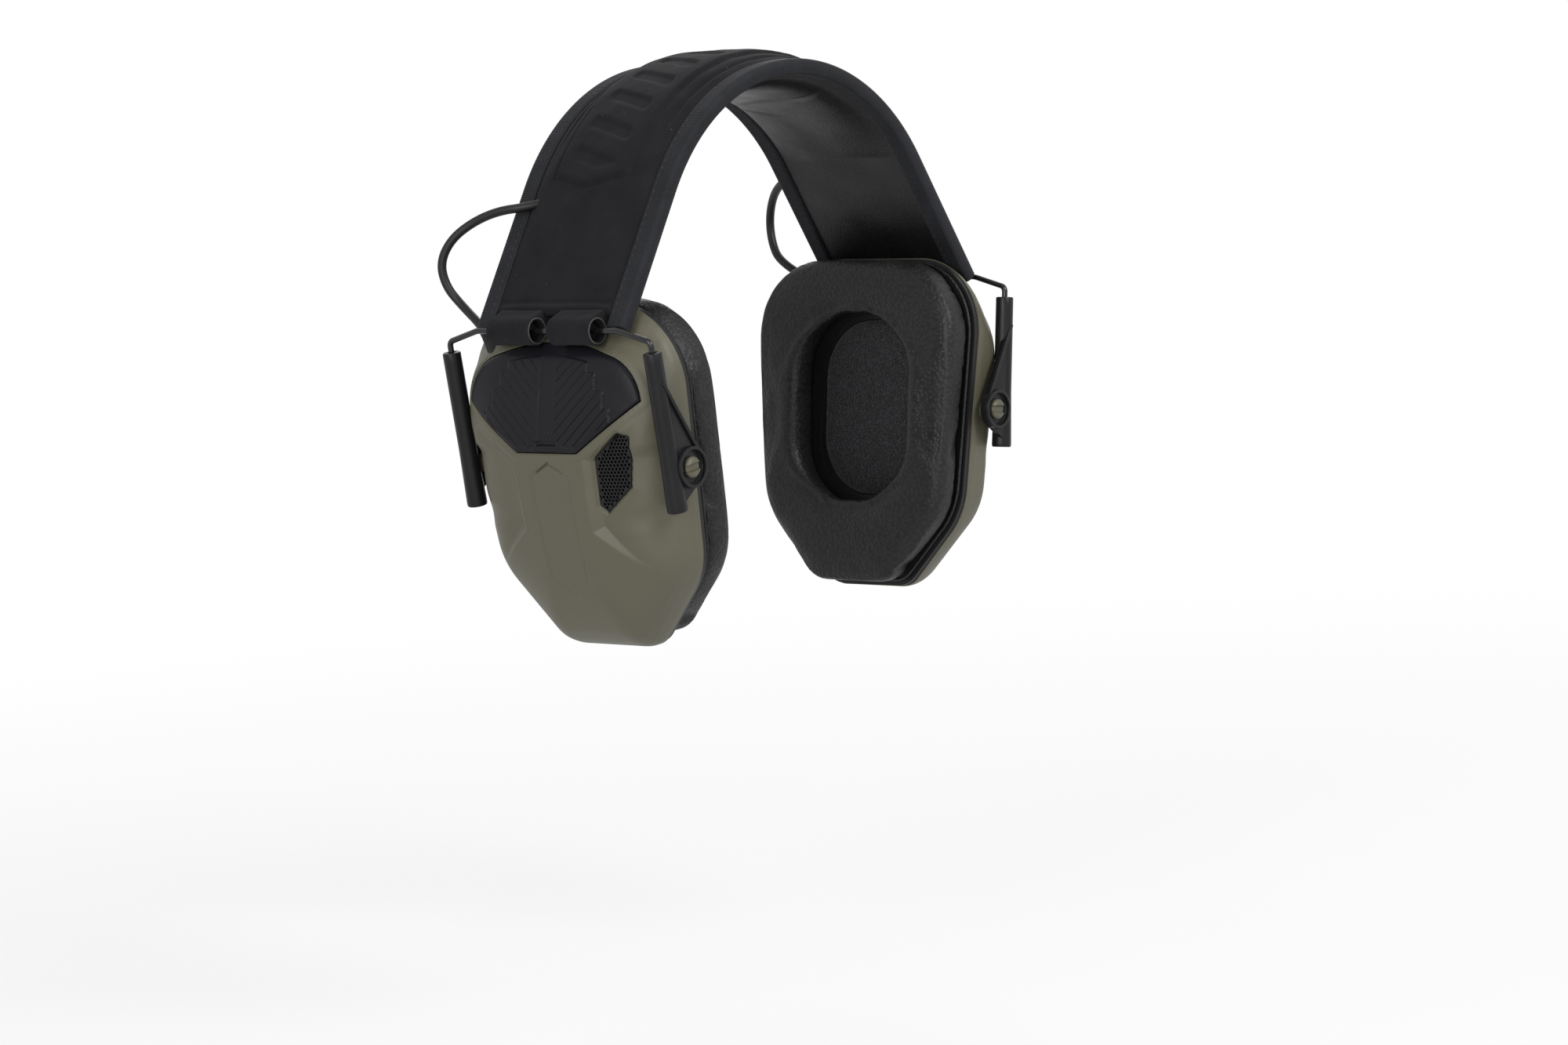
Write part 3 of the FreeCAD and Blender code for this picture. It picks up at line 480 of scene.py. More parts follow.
def loop_rims_mesh():
    """The rim round each end of the right loops: the cloth's greyer cut edge, painted paler as a highlight
    along its rounded edge.
    """
    turns = np.linspace(-math.pi, math.pi, 97)[:-1]
    phases = np.linspace(0.0, 2 * math.pi, 9)[:-1]
    rims = []
    for y in (loop_inner_end, loop_outer_end, -loop_inner_end, -loop_outer_end):
        side = 1.0 if abs(y) > 10.0 else -1.0
        out = side * np.sign(y)
        ring = [[(4.13 + 0.2 * math.cos(p), t, 0.16 * math.sin(p)) for p in phases] for t in turns]
        ring = np.array(ring)
        places = around(origin, ring[..., 0], ring[..., 1])
        rims.append(ring_solid(from_hinge(*places, y + out * ring[..., 2])))
    return fresh_mesh("rims", *joined(*rims))


def hull(points):
    """The convex outline round some points."""
    ordered = sorted(set(points))

    def half(run):
        chain = []
        for p in run:
            while len(chain) > 1 and ((chain[-1][0] - chain[-2][0]) * (p[1] - chain[-2][1])
                                      - (chain[-1][1] - chain[-2][1]) * (p[0] - chain[-2][0])) <= 0:
                chain.pop()
            chain.append(p)
        return chain[:-1]

    return np.array(half(ordered) + half(ordered[::-1]))


def loops_mesh():
    return fresh_mesh("loops", *joined(loop_mesh(loop_inner_end, loop_outer_end),
                                       loop_mesh(-loop_outer_end, -loop_inner_end)))


def add_mirrored(names, mesh, axis, finish, nodes=((), ()), sharp=40.0):
    """A piece of the headband and its mirror image."""
    meshes = (mesh, mirrored(mesh, names[1], axis))
    for name, shape, stands_for in zip(names, meshes, nodes):
        add_piece(name, shape, finish, "headband", stands_for, sharp)


def build_headband():
    add_piece("cover_look", cover_mesh(), cloth, "headband", ["headband_cover"], 60.0)
    pad = add_piece("pad_look", pad_mesh(), smooth_leather, "headband", ["headband_pad"], 60.0)
    add_mirrored(("rear_binding_look", "front_binding_look"), binding_mesh(), front_axis, ribbon,
                 (["rear_edge_binding"], ["front_edge_binding"]), 75.0)
    add_mirrored(("rear_stitches", "front_stitches"), stitches_mesh(), front_axis, thread)
    add_mirrored(("right_loops_look", "left_loops_look"), loops_mesh(), side_axis, cloth,
                 (["right_hinge_loops"], ["left_hinge_loops"]), 60.0)
    add_mirrored(("right_loop_rims", "left_loop_rims"), loop_rims_mesh(), side_axis, cut_edge_and_highlight)


# ---- leads between the band and the cups
def boot_points():
    return np.array([-1.0, 29.5, 39.0]), np.array([1.6, 35.2, 44.2])


def lead_points():
    foot, tip = boot_points()
    start_turn = leg_turn - 10.5 / (band_radius - 2.4)
    reach = band_radius - 2.4
    route = [Vector((-reach * math.sin(turn), 18.0, arch_z + reach * math.cos(turn)))
             for turn in (start_turn, leg_turn - 0.04)]
    route.append(Vector(band_points(np.array(arc_run + 4.2), 20.0, 1.8)))
    route += [Vector(p) for p in (
        (-72.8, 25.4, -32.6), (-76.2, 34.5, -33.4), (-79.2, 43.5, -36.6), (-83.2, 50.5, -42.0),
        (-85.4, 54.2, -49.6), (-84.6, 53.0, -57.6), (-82.6, 48.4, -64.0))]
    route.append(Vector(on_right(tip + (tip - foot) * 0.15)))
    route.append(Vector(on_right(foot - (tip - foot) * 0.35)))
    return [point * MM for point in route]


def spline_points(route):
    """Points along the smooth line that a NURBS spline makes of the route."""
    curve = bpy.data.curves.new("lead_line", "CURVE")
    curve.dimensions = "3D"
    curve.resolution_u = 24
    spline = curve.splines.new("NURBS")
    spline.points.add(len(route) - 1)
    for point, place in zip(spline.points, route):
        point.co = (*place, 1.0)
    spline.order_u = 3
    spline.use_endpoint_u = True
    holder = new_object("lead_line", curve)
    bpy.context.view_layer.update()
    line = bpy.data.meshes.new_from_object(holder)
    points = [vertex.co.copy() for vertex in line.vertices]
    bpy.data.objects.remove(holder)
    bpy.data.meshes.remove(line)
    return points


def tube_mesh(name, path, radius, sides=20):
    """A closed tube along points in metres, with level frames carried from one to the next."""
    aim = (path[1] - path[0]).normalized()
    side = aim.orthogonal().normalized()
    points = []
    for i, place in enumerate(path):
        ahead = path[min(i + 1, len(path) - 1)] - path[max(i - 1, 0)]
        ahead.normalize()
        side = (side - ahead * side.dot(ahead)).normalized()
        other = ahead.cross(side)
        for k in range(sides):
            turn = 2 * math.pi * k / sides
            points.append((place + (side * math.cos(turn) + other * math.sin(turn)) * radius) / MM)
    return fresh_mesh(name, *capped(np.array(points).reshape(len(path), sides, 3)))


def build_leads():
    """Each lead is one smooth line, parted where the joints that it crosses part it."""
    route = lead_points()
    line = spline_points(route)
    breaks = [(route[4] + route[5]) / 2.0, (route[8] + route[9]) / 2.0]
    cuts = [min(range(len(line)), key=lambda i: (line[i] - place).length) for place in breaks]
    bodies = [("headband", "stirrup"), ("stirrup", "arms"), ("arms", "cup")]
    spans = zip([0] + cuts, cuts + [len(line) - 1], ("upper", "middle", "lower"), bodies)
    for first, last, part, (above, below) in spans:
        for side, flip in (("right", 1.0), ("left", -1.0)):
            path = [Vector((p.x * flip, p.y, p.z)) for p in line[first:last + 1]]
            mesh = tube_mesh(side + "_lead_" + part, path, lead_radius * MM)
            piece = add_piece("%s_lead_%s_look" % (side, part), mesh, jacket,
                              nodes=["%s_lead_%s" % (side, part)])
            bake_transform(piece)


# ---- cup outlines
# One row per level of the dome: outboard of the tilt axis, half width, top and bottom.
dome_rows = [
    (-7.0, 46.0, 52.5, 63.0), (-4.5, 45.8, 51.5, 62.8), (-2.0, 45.4, 49.0, 62.2),
    (1.0, 45.0, 44.2, 60.9), (4.0, 44.4, 40.6, 59.0), (7.0, 42.0, 37.6, 56.2),
    (10.5, 38.2, 28.5, 50.5), (13.5, 32.0, 19.0, 41.5), (15.8, 22.0, 10.0, 27.0),
    (17.0, 10.0, 4.5, 13.0), (17.2, 0.6, 0.4, 0.8),
]
dome_depth = 24.2


def cup_outline(half, top, bottom):
    scale = half / cup_half
    low = bottom / cup_bottom
    corners = [(half, top), (cup_waist * scale, -cup_waist_down * low), (cup_foot * scale, -bottom),
               (-cup_foot * scale, -bottom), (-cup_waist * scale, -cup_waist_down * low), (-half, top)]
    size = min(scale, (top + cup_waist_down * low) / (cup_top + cup_waist_down))
    radii = [cup_corner * size, cup_waist_round * min(size, low), cup_foot_round * min(size, low)]
    return rounded_outline(corners, radii + radii[::-1])


def smooth_rows(rows, count):
    """The dome's levels as a smooth curve through the rows, evenly spaced along it."""
    table = np.array(rows)
    steps = np.linalg.norm(np.diff(table, axis=0), axis=1)
    place = np.concatenate([[0.0], np.cumsum(steps)])
    slope = np.gradient(table, place, axis=0)
    wanted = np.linspace(0.0, place[-1], count)
    k = np.clip(np.searchsorted(place, wanted, side="right") - 1, 0, len(rows) - 2)
    width = (place[k + 1] - place[k])[:, None]
    t = (wanted - place[k])[:, None] / width
    a, b, da, db = table[k], table[k + 1], slope[k] * width, slope[k + 1] * width
    return ((2 * t ** 3 - 3 * t ** 2 + 1) * a + (t ** 3 - 2 * t ** 2 + t) * da
            + (3 * t ** 2 - 2 * t ** 3) * b + (t ** 3 - t ** 2) * db)


def cup_turns(count):
    return np.linspace(-math.pi, math.pi, count + 1)[:-1] + 1e-4


def dome_grid(levels, count, inset=0.0):
    """Bench points over the dome, one ring for each level, inwards from the rim."""
    turns = cup_turns(count)
    rings = []
    for out, half, top, bottom in smooth_rows(dome_rows, levels):
        centre = (0.0, (top - bottom) * 0.5)
        depth = inset * (out + rim_in) / dome_depth
        shrink = min(inset, half * 0.5)
        outline = cup_outline(max(half - shrink, 0.3), max(top - shrink, 0.2), max(bottom - shrink, 0.3))
        reach = radius_at(outline, centre, turns)
        rings.append(xyz(-(out - depth), *around(centre, reach, turns)))
    return np.array(rings)


class Dome:
    """How far outboard the plain dome lies at any place, from its grid by rays."""

    def __init__(self):
        grid = dome_grid(120, 240)
        points = grid.reshape(-1, 3)
        faces = grid_faces(120, 240, wrap_columns=True)
        self.tree = BVHTree.FromPolygons([tuple(p) for p in points], faces)

    def out(self, y, z):
        found = np.empty(np.shape(y))
        flat_y, flat_z, flat = np.ravel(y), np.ravel(z), np.ravel(found)
        for i, (a, b) in enumerate(zip(flat_y, flat_z)):
            hit = self.tree.ray_cast(Vector((-60.0, a, b)), Vector((1.0, 0.0, 0.0)))[0]
            flat[i] = -hit.x if hit is not None else -rim_in
        return flat.reshape(np.shape(y))


# ---- features of the cup's face, as (across, up) on the bench
grille_sunk = 0.55
cut_from = -40.0
lid_low = 7.8
lid_foot = 13.2
lid_shoulder = 23.6
lid_side = 37.6
lid_knee = (25.7, 38.0)
lid_bulge = (33.8, 32.6)
lid_crown = 41.9
rib_slope = 0.9
rib_pitch_up = 3.9
panel_corner = [(15.6, 6.4), (15.1, -5.2), (14.8, -18.4), (32.5, -31.9)]
panel_upper = (38.6, 18.4)
facet = panel_corner + [(70.0, -31.9), (70.0, 34.0), panel_upper]
grille_corners = [(-28.6, 14.6), (-32.6, 12.6), (-30.8, -4.0), (-20.2, -12.4), (-17.6, -10.0), (-18.4, 6.0)]
label_corners = [(0.0, 5.0), (-8.2, 0.3), (-8.0, -35.1), (0.0, -40.7), (8.0, -35.1), (8.2, 0.3)]


def arc_through(start, middle, end, steps):
    """Points of the arc through three points, without its last one."""
    start, middle, end = np.array(start), np.array(middle), np.array(end)
    system = 2.0 * np.array([middle - start, end - start])
    centre = np.linalg.solve(system, [middle @ middle - start @ start, end @ end - start @ start])
    turns = [math.atan2(p[1] - centre[1], p[0] - centre[0]) for p in (start, end)]
    radius = np.linalg.norm(start - centre)
    return [(centre[0] + radius * math.cos(t), centre[1] + radius * math.sin(t))
            for t in np.linspace(turns[0], turns[1], steps + 1)[:-1]]


def lid_outline(gap, steps=60):
    """The lid's edge: straight foot, straight sloping sides and full arcs over the top."""
    right = (lid_side - gap, lid_shoulder + gap)
    bulge = (lid_bulge[0] - 0.8 * gap, lid_bulge[1] - 0.6 * gap)
    knee = (lid_knee[0] - 0.3 * gap, lid_knee[1] - gap)
    side = arc_through(right, bulge, knee, steps // 2)
    top = arc_through(knee, (0.0, lid_crown - gap), (-knee[0], knee[1]), steps)
    left = [(-y, z) for y, z in side[::-1]]
    foot = [(-lid_foot + gap * 0.4, lid_low + gap), (lid_foot - gap * 0.4, lid_low + gap)]
    return side + top + [(-knee[0], knee[1])] + left + foot


def facet_sink(a, z):
    """The side facets' depth behind the plain dome, and how it fades towards their tails."""
    near = np.minimum(line_distance(a, z, panel_corner), segment_distance(a, z, panel_corner[0], panel_upper))
    tail = 1.0 - smoothstep(15.5, 34.0, a) * smoothstep(-12.0, -20.0, z)
    tail *= 1.0 - smoothstep(24.0, 37.0, a) * smoothstep(5.0, 10.0, z)
    return 2.3 * tail * (1.0 - smoothstep(4.0, 24.0, near)), tail


def face_relief(y, z):
    """How far the moulded face stands out of the plain dome."""
    a = np.abs(y)
    inside = polygon_depth(a, z, facet)
    sink, tail = facet_sink(a, z)
    relief = -sink * np.clip(inside / (0.5 + 3.0 * tail), 0.0, 1.0)
    relief += 0.12 * ridge(inside + 0.5, 0.5) * tail
    grille = polygon_depth(y, z, grille_corners)
    relief -= 0.7 * smoothstep(-0.8, -0.1, grille)
    label = polygon_depth(y, z, label_corners)
    relief -= 0.22 * smoothstep(-0.1, 0.3, label) + 0.3 * ridge(label, 0.36)
    chevron = line_distance(y, z, [(-5.4, 1.9), (0.0, 4.9), (5.4, 1.9)])
    relief -= 0.5 * smoothstep(1.0, 0.3, chevron) * smoothstep(-0.1, 0.3, label)
    lid = polygon_depth(y, z, [(float(p[0]), float(p[1])) for p in lid_outline(0.0)])
    relief += 0.25 * smoothstep(-2.8, -1.6, lid) * smoothstep(-0.05, -0.5, lid)
    return relief


def moulded(grid):
    """Dome points moved out by the face's relief, which fades towards the rim."""
    relief = face_relief(grid[..., 1], grid[..., 2])
    grid[..., 0] -= relief * smoothstep(-2.0, 6.0, -grid[..., 0])
    return grid


def shell_mesh():
    """The moulded half-shell as a closed solid: outside, rim and inside."""
    outer = moulded(dome_grid(230, 460))
    inner = moulded(dome_grid(60, 460, wall))
    return bench_mesh("shell", *capped(np.concatenate([outer[::-1], inner])))


def bench_mesh(name, points, faces):
    return fresh_mesh(name, on_right(np.asarray(points, float)), faces)


def prism(outline, x0, x1):
    """A closed prism along the bench X axis."""
    count = len(outline)
    points = [(x0, y, z) for y, z in outline] + [(x1, y, z) for y, z in outline]
    faces = [tuple(range(count - 1, -1, -1)), tuple(range(count, 2 * count))]
    faces += [(k, (k + 1) % count, count + (k + 1) % count, count + k) for k in range(count)]
    return points, faces


def circle_outline(centre, radius, steps=48):
    return [(centre[0] + radius * math.cos(2 * math.pi * k / steps),
             centre[1] + radius * math.sin(2 * math.pi * k / steps)) for k in range(steps)]


def carve(mesh, tools):
    """The mesh with each closed tool cut out of it."""
    holder = new_object("carve", mesh)
    tidy_normals(mesh)
    helpers = []
    for tool in tools:
        tidy_normals(tool)
        helper = new_object("carve_tool", tool)
        cut = holder.modifiers.new("cut", "BOOLEAN")
        cut.operation = "DIFFERENCE"
        cut.solver = "EXACT"
        cut.object = helper
        helpers.append(helper)
    bpy.context.view_layer.update()
    shaped = holder.evaluated_get(bpy.context.evaluated_depsgraph_get())
    result = bpy.data.meshes.new_from_object(shaped)
    result.materials.clear()
    for helper in helpers + [holder]:
        bpy.data.objects.remove(helper)
    return result


# ---- cup pieces
def lid_relief(y, z):
    """Grooves and strokes of the lid, and the stepped edge of its ribbed field."""
    a = np.abs(y)
    field = rib_field(a, z)
    place = ((z - rib_slope * a - 1.2) / rib_pitch_up) % 1.0 * rib_pitch_up
    groove = ridge(place - rib_pitch_up / 2.0, 0.2)
    inner = smoothstep(3.0, 3.3, a)
    relief = 0.35 * smoothstep(-0.1, 0.6, field) * inner
    relief -= 0.3 * groove * smoothstep(0.5, 0.9, field) * smoothstep(3.6, 4.0, a)
    notch = np.abs(field - 0.1) + 2.0 * np.maximum(np.abs(((z - 22.0) / 5.5) % 1.0 - 0.5) * 5.5 - 1.4, 0.0)
    relief -= 0.3 * ridge(notch, 0.4) * (a > 15.0) * (z > 20.0)
    strokes = np.minimum(segment_distance(y, z, (-1.4, 14.4), (-0.9, 12.9)),
                         segment_distance(y, z, (0.4, 14.4), (0.9, 12.9)))
    relief += 0.25 * smoothstep(0.45, 0.15, strokes)
    latch = np.maximum(np.abs(y) / 4.2, np.abs(z - 11.2) / 0.7)
    relief -= 0.8 * smoothstep(1.12, 0.88, latch)
    bar = np.maximum(np.abs(y) / 5.6, np.abs(z - 9.3) / 0.45)
    return relief + 0.3 * smoothstep(1.2, 0.85, bar)


def rib_field(a, z):
    """How far inside the lid's ribbed field, whose outer edge goes down in steps."""
    edge = 17.5 + 3.6 * smoothstep(33.6, 33.2, z) + 3.6 * smoothstep(28.1, 27.7, z)
    edge = edge + 2.6 * smoothstep(22.6, 22.2, z)
    top = 38.6 - 0.0065 * a ** 2
    low = 9.6 + 0.56 * np.maximum(a - lid_foot, 0.0) + 1.6 * smoothstep(9.0, 4.0, a)
    return np.min(np.broadcast_arrays(edge - a, top - z, z - low), axis=0)


def lid_points(rows, columns):
    outline = lid_outline(0.28, 160)
    right = sorted([(z, y) for y, z in outline if y > 0])
    heights = np.array([p[0] for p in right])
    widths = np.array([p[1] for p in right])
    low, high = lid_low + 0.28, lid_crown - 0.28
    share = np.sin(np.linspace(0.0, 1.0, rows) * math.pi / 2.0) * 0.3 + np.linspace(0.0, 1.0, rows) * 0.7
    z = low + (high - low) * share * 0.9995
    half = np.interp(z, heights, widths)
    across = np.linspace(-1.0, 1.0, columns)
    across = np.sin(across * math.pi / 2.0) * 0.15 + across * 0.85
    y = half[:, None] * across[None, :]
    z = np.broadcast_to(z[:, None], y.shape)
    return y, z, [(float(p[0]), float(p[1])) for p in outline]


def lid_mesh(dome):
    """The cup's black top cover: proud of the shell, ribbed, with a rounded edge."""
    y, z, outline = lid_points(230, 420)
    edge = np.maximum(polygon_depth(y, z, outline), 0.0)
    plain = dome.out(y, z)
    drop = 1.0 - np.sqrt(np.clip(1.0 - (1.0 - np.clip(edge / 0.9, 0.0, 1.0)) ** 2, 0.0, 1.0))
    out = plain + 0.55 + lid_relief(y, z) - 0.9 * drop
    return bench_mesh("lid", *sheet_solid(xyz(-out, y, z), xyz(-(plain - 1.9), y, z)))


def grille_mesh(dome):
    """A moulded hex mesh with a plain frame, following the dome a little below its face."""
    pitch = 1.35
    hole = 0.5
    points = []
    faces = []
    row_step = pitch * math.sqrt(3.0) / 2.0
    for i in range(-18, 19):
        for j in range(-14, 15):
            y = -25.2 + (j + 0.5 * (i % 2)) * pitch
            z = 1.0 + i * row_step
            depth = float(polygon_depth(np.array(y), np.array(z), grille_corners))
            if depth < 0.1:
                continue
            size = hole if depth > 0.8 else 0.0
            add_hex_cell(points, faces, y, z, pitch / math.sqrt(3.0), size)
    points = np.array(points)
    sink = facet_sink(np.abs(points[:, 1]), points[:, 2])[0]
    points[:, 0] -= dome.out(points[:, 1], points[:, 2]) - sink - grille_sunk
    return bench_mesh("grille", *joined((points, faces), grille_frame(dome)))


def add_hex_cell(points, faces, y, z, outer, hole):
    """One hex of the mesh: a flat ring with a rounded hole through it, X as depth below the face."""
    first = len(points)
    turns = [math.pi / 6 + math.pi * k / 3 for k in range(6)]
    rings = [(outer, 0.0), (hole + 0.12, 0.0), (hole, 0.12), (hole * 0.9, 1.0), (0.02, 1.05), (0.02, 1.3),
             (outer, 1.3)]
    if hole == 0.0:
        rings = [(outer, 0.0), (0.02, 0.0), (0.02, 1.3), (outer, 1.3)]
    for radius, depth in rings:
        points.extend((depth, y + radius * math.cos(t), z + radius * math.sin(t)) for t in turns)
    faces += grid_faces(len(rings), 6, wrap_rows=True, wrap_columns=True, first=first)


def grille_outline():
    return rounded_outline(grille_corners, [1.6] * 6, 6)


def grille_frame(dome):
    """The glossy rounded rim round the mesh."""
    centre = np.mean(np.array(grille_corners), axis=0)
    turns = cup_turns(150)
    reach = radius_at(grille_outline(), centre, turns)
    sections = []
    for share, height in ((-0.02, -1.2), (-0.02, -0.2), (-0.2, 0.0), (-0.4, 0.0), (-0.6, -0.2), (-0.6, -1.2)):
        y, z = around(centre, reach + share, turns)
        out = dome.out(y, z) - facet_sink(np.abs(y), z)[0] - grille_sunk + 0.2 + height
        sections.append(xyz(-out, y, z))
    return ring_solid(np.array(sections).transpose(1, 0, 2))


def oval_outline(half, up, share=0.92):
    return rounded_outline([(half, up), (half, -up), (-half, -up), (-half, up)], [half * share] * 4)


def boxy(value):
    """A wave between -1 and 1 with fuller shoulders."""
    return np.sign(value) * abs(value) ** 0.62


def cushion_mesh():
    """The ear cushion: a stuffed leatherette ring, crowned and pulled in at its seams."""
    turns = cup_turns(216)
    outer = radius_at(cup_outline(cup_half - 1.0, cup_top - 1.0, cup_bottom - 1.9), cushion_centre, turns)
    inner = radius_at(oval_outline(23.6, 32.6), origin, turns)
    inner_y, inner_z = around(origin, inner, turns)
    outer_y, outer_z = around(cushion_centre, outer, turns)
    phases = np.linspace(0.0, 2 * math.pi, 49)[:-1]
    rows = []
    for k in range(len(turns)):
        section = []
        for phase in phases:
            across = 0.5 + 0.5 * boxy(math.cos(phase))
            up = cushion_base + cushion_thick * (0.5 + 0.5 * boxy(math.sin(phase)))
            pull = 0.05 * (1.0 - (up - cushion_base) / cushion_thick)
            share = across * (1.0 - 2 * pull) + pull
            section.append((up, inner_y[k] + (outer_y[k] - inner_y[k]) * share,
                            inner_z[k] + (outer_z[k] - inner_z[k]) * share))
        rows.append(section)
    return bench_mesh("cushion", *ring_solid(np.array(rows)))


def inflate(mesh, pressure, cap, seams, frames=16):
    """The mesh as a stuffed skin: cloth under pressure, held along its seams, moved at most cap."""
    holder = new_object("stuffed", mesh)
    start = np.array([v.co for v in mesh.vertices])
    group = holder.vertex_groups.new(name="seams")
    group.add([int(i) for i in seams], 1.0, "REPLACE")
    cloth_setup = holder.modifiers.new("skin", "CLOTH")
    settings = cloth_setup.settings
    settings.use_pressure = True
    settings.uniform_pressure_force = pressure
    settings.effector_weights.gravity = 0.0
    settings.vertex_group_mass = "seams"
    settings.quality = 5
    settings.tension_stiffness = 25.0
    settings.compression_stiffness = 25.0
    settings.bending_stiffness = 0.6
    settings.shrink_min = -0.03
    cloth_setup.collision_settings.use_collision = False
    cloth_setup.collision_settings.use_self_collision = False
    for step in range(1, frames + 1):
        bpy.context.scene.frame_set(step)
    shaped = holder.evaluated_get(bpy.context.evaluated_depsgraph_get())
    moved = np.array([v.co for v in shaped.data.vertices])
    bpy.context.scene.frame_set(1)
    offset = moved - start
    size = np.linalg.norm(offset, axis=1, keepdims=True)
    offset *= np.minimum(1.0, cap * MM / np.maximum(size, 1e-9))
    bpy.data.objects.remove(holder)
    mesh.vertices.foreach_set("co", (start + offset).ravel())
    mesh.update()
    return mesh


def stuffed_cushion():
    mesh = cushion_mesh()
    place = np.array([v.co for v in mesh.vertices]) / MM
    bench = (place - np.array(pivot)) @ np.array([math.cos(lean), 0.0, math.sin(lean)])
    seams = np.where(bench < cushion_base + 0.4)[0]
    inflate(mesh, 4.0, 0.9, seams)
    return mesh


def cushion_piping_mesh():
    """The folded welt where the cushion's skin meets its ring."""
    turns = cup_turns(240)
    reach = radius_at(cup_outline(cup_half - 1.5, cup_top - 1.5, cup_bottom - 2.4), cushion_centre, turns)
    sections = []
    for k in range(10):
        phase = 2 * math.pi * k / 10
        up = cushion_base + 0.35 + 0.5 * math.sin(phase)
        sections.append(xyz(up, *around(cushion_centre, reach + 0.55 * math.cos(phase), turns)))
    return bench_mesh("welt", *ring_solid(np.array(sections).transpose(1, 0, 2)))


def foam_mesh():
    """The open foam behind the cushion's hole, soft and a little uneven."""
    turns = cup_turns(120)
    reach = radius_at(oval_outline(21.7, 30.7), origin, turns)
    rings = [(1.0, rim_in), (1.0, rim_in + 2.2), (0.975, rim_in + 3.0), (0.93, rim_in + 3.35)]
    rings += [(share, rim_in + 3.4) for share in np.linspace(0.86, 0.04, 24)]
    points, faces = capped(np.array([xyz(up, *around(origin, share * reach, turns)) for share, up in rings]))
    points[:, 0] += rough(points, 2.0, 9) * 0.25 * (points[:, 0] > rim_in + 2.5)
    return bench_mesh("foam", points, faces)


def stud_mesh(side):
    """A split stud: two domed fingers with a flat slot between them, on a round pin."""
    def finger(half):
        rows = [(45.2, 1.0, 0.0), (47.3, 1.0, 0.0), (47.5, 1.06, 0.0), (47.8, 1.05, 0.0), (48.2, 0.97, 0.0),
                (48.6, 0.8, 0.1), (48.8, 0.6, 0.2), (48.85, 0.45, 0.25)]
        sections = []
        for along, share, lift in rows:
            radius = stud_radius * share
            low = stud_slit_half + lift
            reach = math.asin(min(low / radius, 0.99))
            turns = np.linspace(reach, math.pi - reach, 26)
            arc = [(radius * math.cos(t), side * along, half * radius * math.sin(t)) for t in turns]
            across = np.linspace(-0.9, 0.9, 7) * radius * math.cos(reach)
            flat = [(x, side * along, half * low) for x in across]
            sections.append(arc + flat)
        return capped(np.array(sections))

    turns = cup_turns(40)
    pin = np.array([[(r * math.cos(t), side * along, r * math.sin(t)) for t in turns]
                    for along, r in ((38.5, 3.2), (47.5, 3.2), (47.6, 3.1))])
    return joined(finger(1.0), finger(-1.0), capped(pin))


def studs_mesh():
    return bench_mesh("studs", *joined(stud_mesh(1.0), stud_mesh(-1.0)))


# ---- slider arms
def turned(profile, count, centre, axis, closed=False):
    """A solid of revolution from (radius, along) points, about the bench Y or Z axis."""
    sections = []
    for t in cup_turns(count):
        row = []
        for radius, along in profile:
            if axis == "z":
                row.append((centre[0] + radius * math.cos(t), centre[1] + radius * math.sin(t), along))
            else:
                row.append((centre[0] + radius * math.cos(t), along, centre[1] + radius * math.sin(t)))
        sections.append(row)
    grid = np.array(sections)
    if closed:
        return ring_solid(grid)
    return capped(grid.transpose(1, 0, 2))


def shrunk(outline, inset):
    """A convex outline moved inwards."""
    ahead = np.roll(outline, -1, axis=0) - np.roll(outline, 1, axis=0)
    ahead /= np.linalg.norm(ahead, axis=1, keepdims=True)
    side = np.stack([-ahead[:, 1], ahead[:, 0]], axis=-1)
    middle = outline.mean(axis=0)
    side *= np.sign(((middle - outline) * side).sum(axis=1, keepdims=True))
    return outline + side * inset


def rounded_slab(outline, low, high, edge):
    """A plate across the bench Y axis with its two rims rounded."""
    sections = []
    rim = [(edge, 0.0), (edge * 0.4, edge * 0.1), (edge * 0.1, edge * 0.4), (0.0, edge)]
    levels = [(inset, low + rise) for inset, rise in rim]
    levels += [(inset, high - rise) for inset, rise in rim[::-1]]
    for inset, along in levels:
        ring = shrunk(outline, inset)
        sections.append(xyz(ring[:, 0], along, ring[:, 1]))
    return capped(np.array(sections))


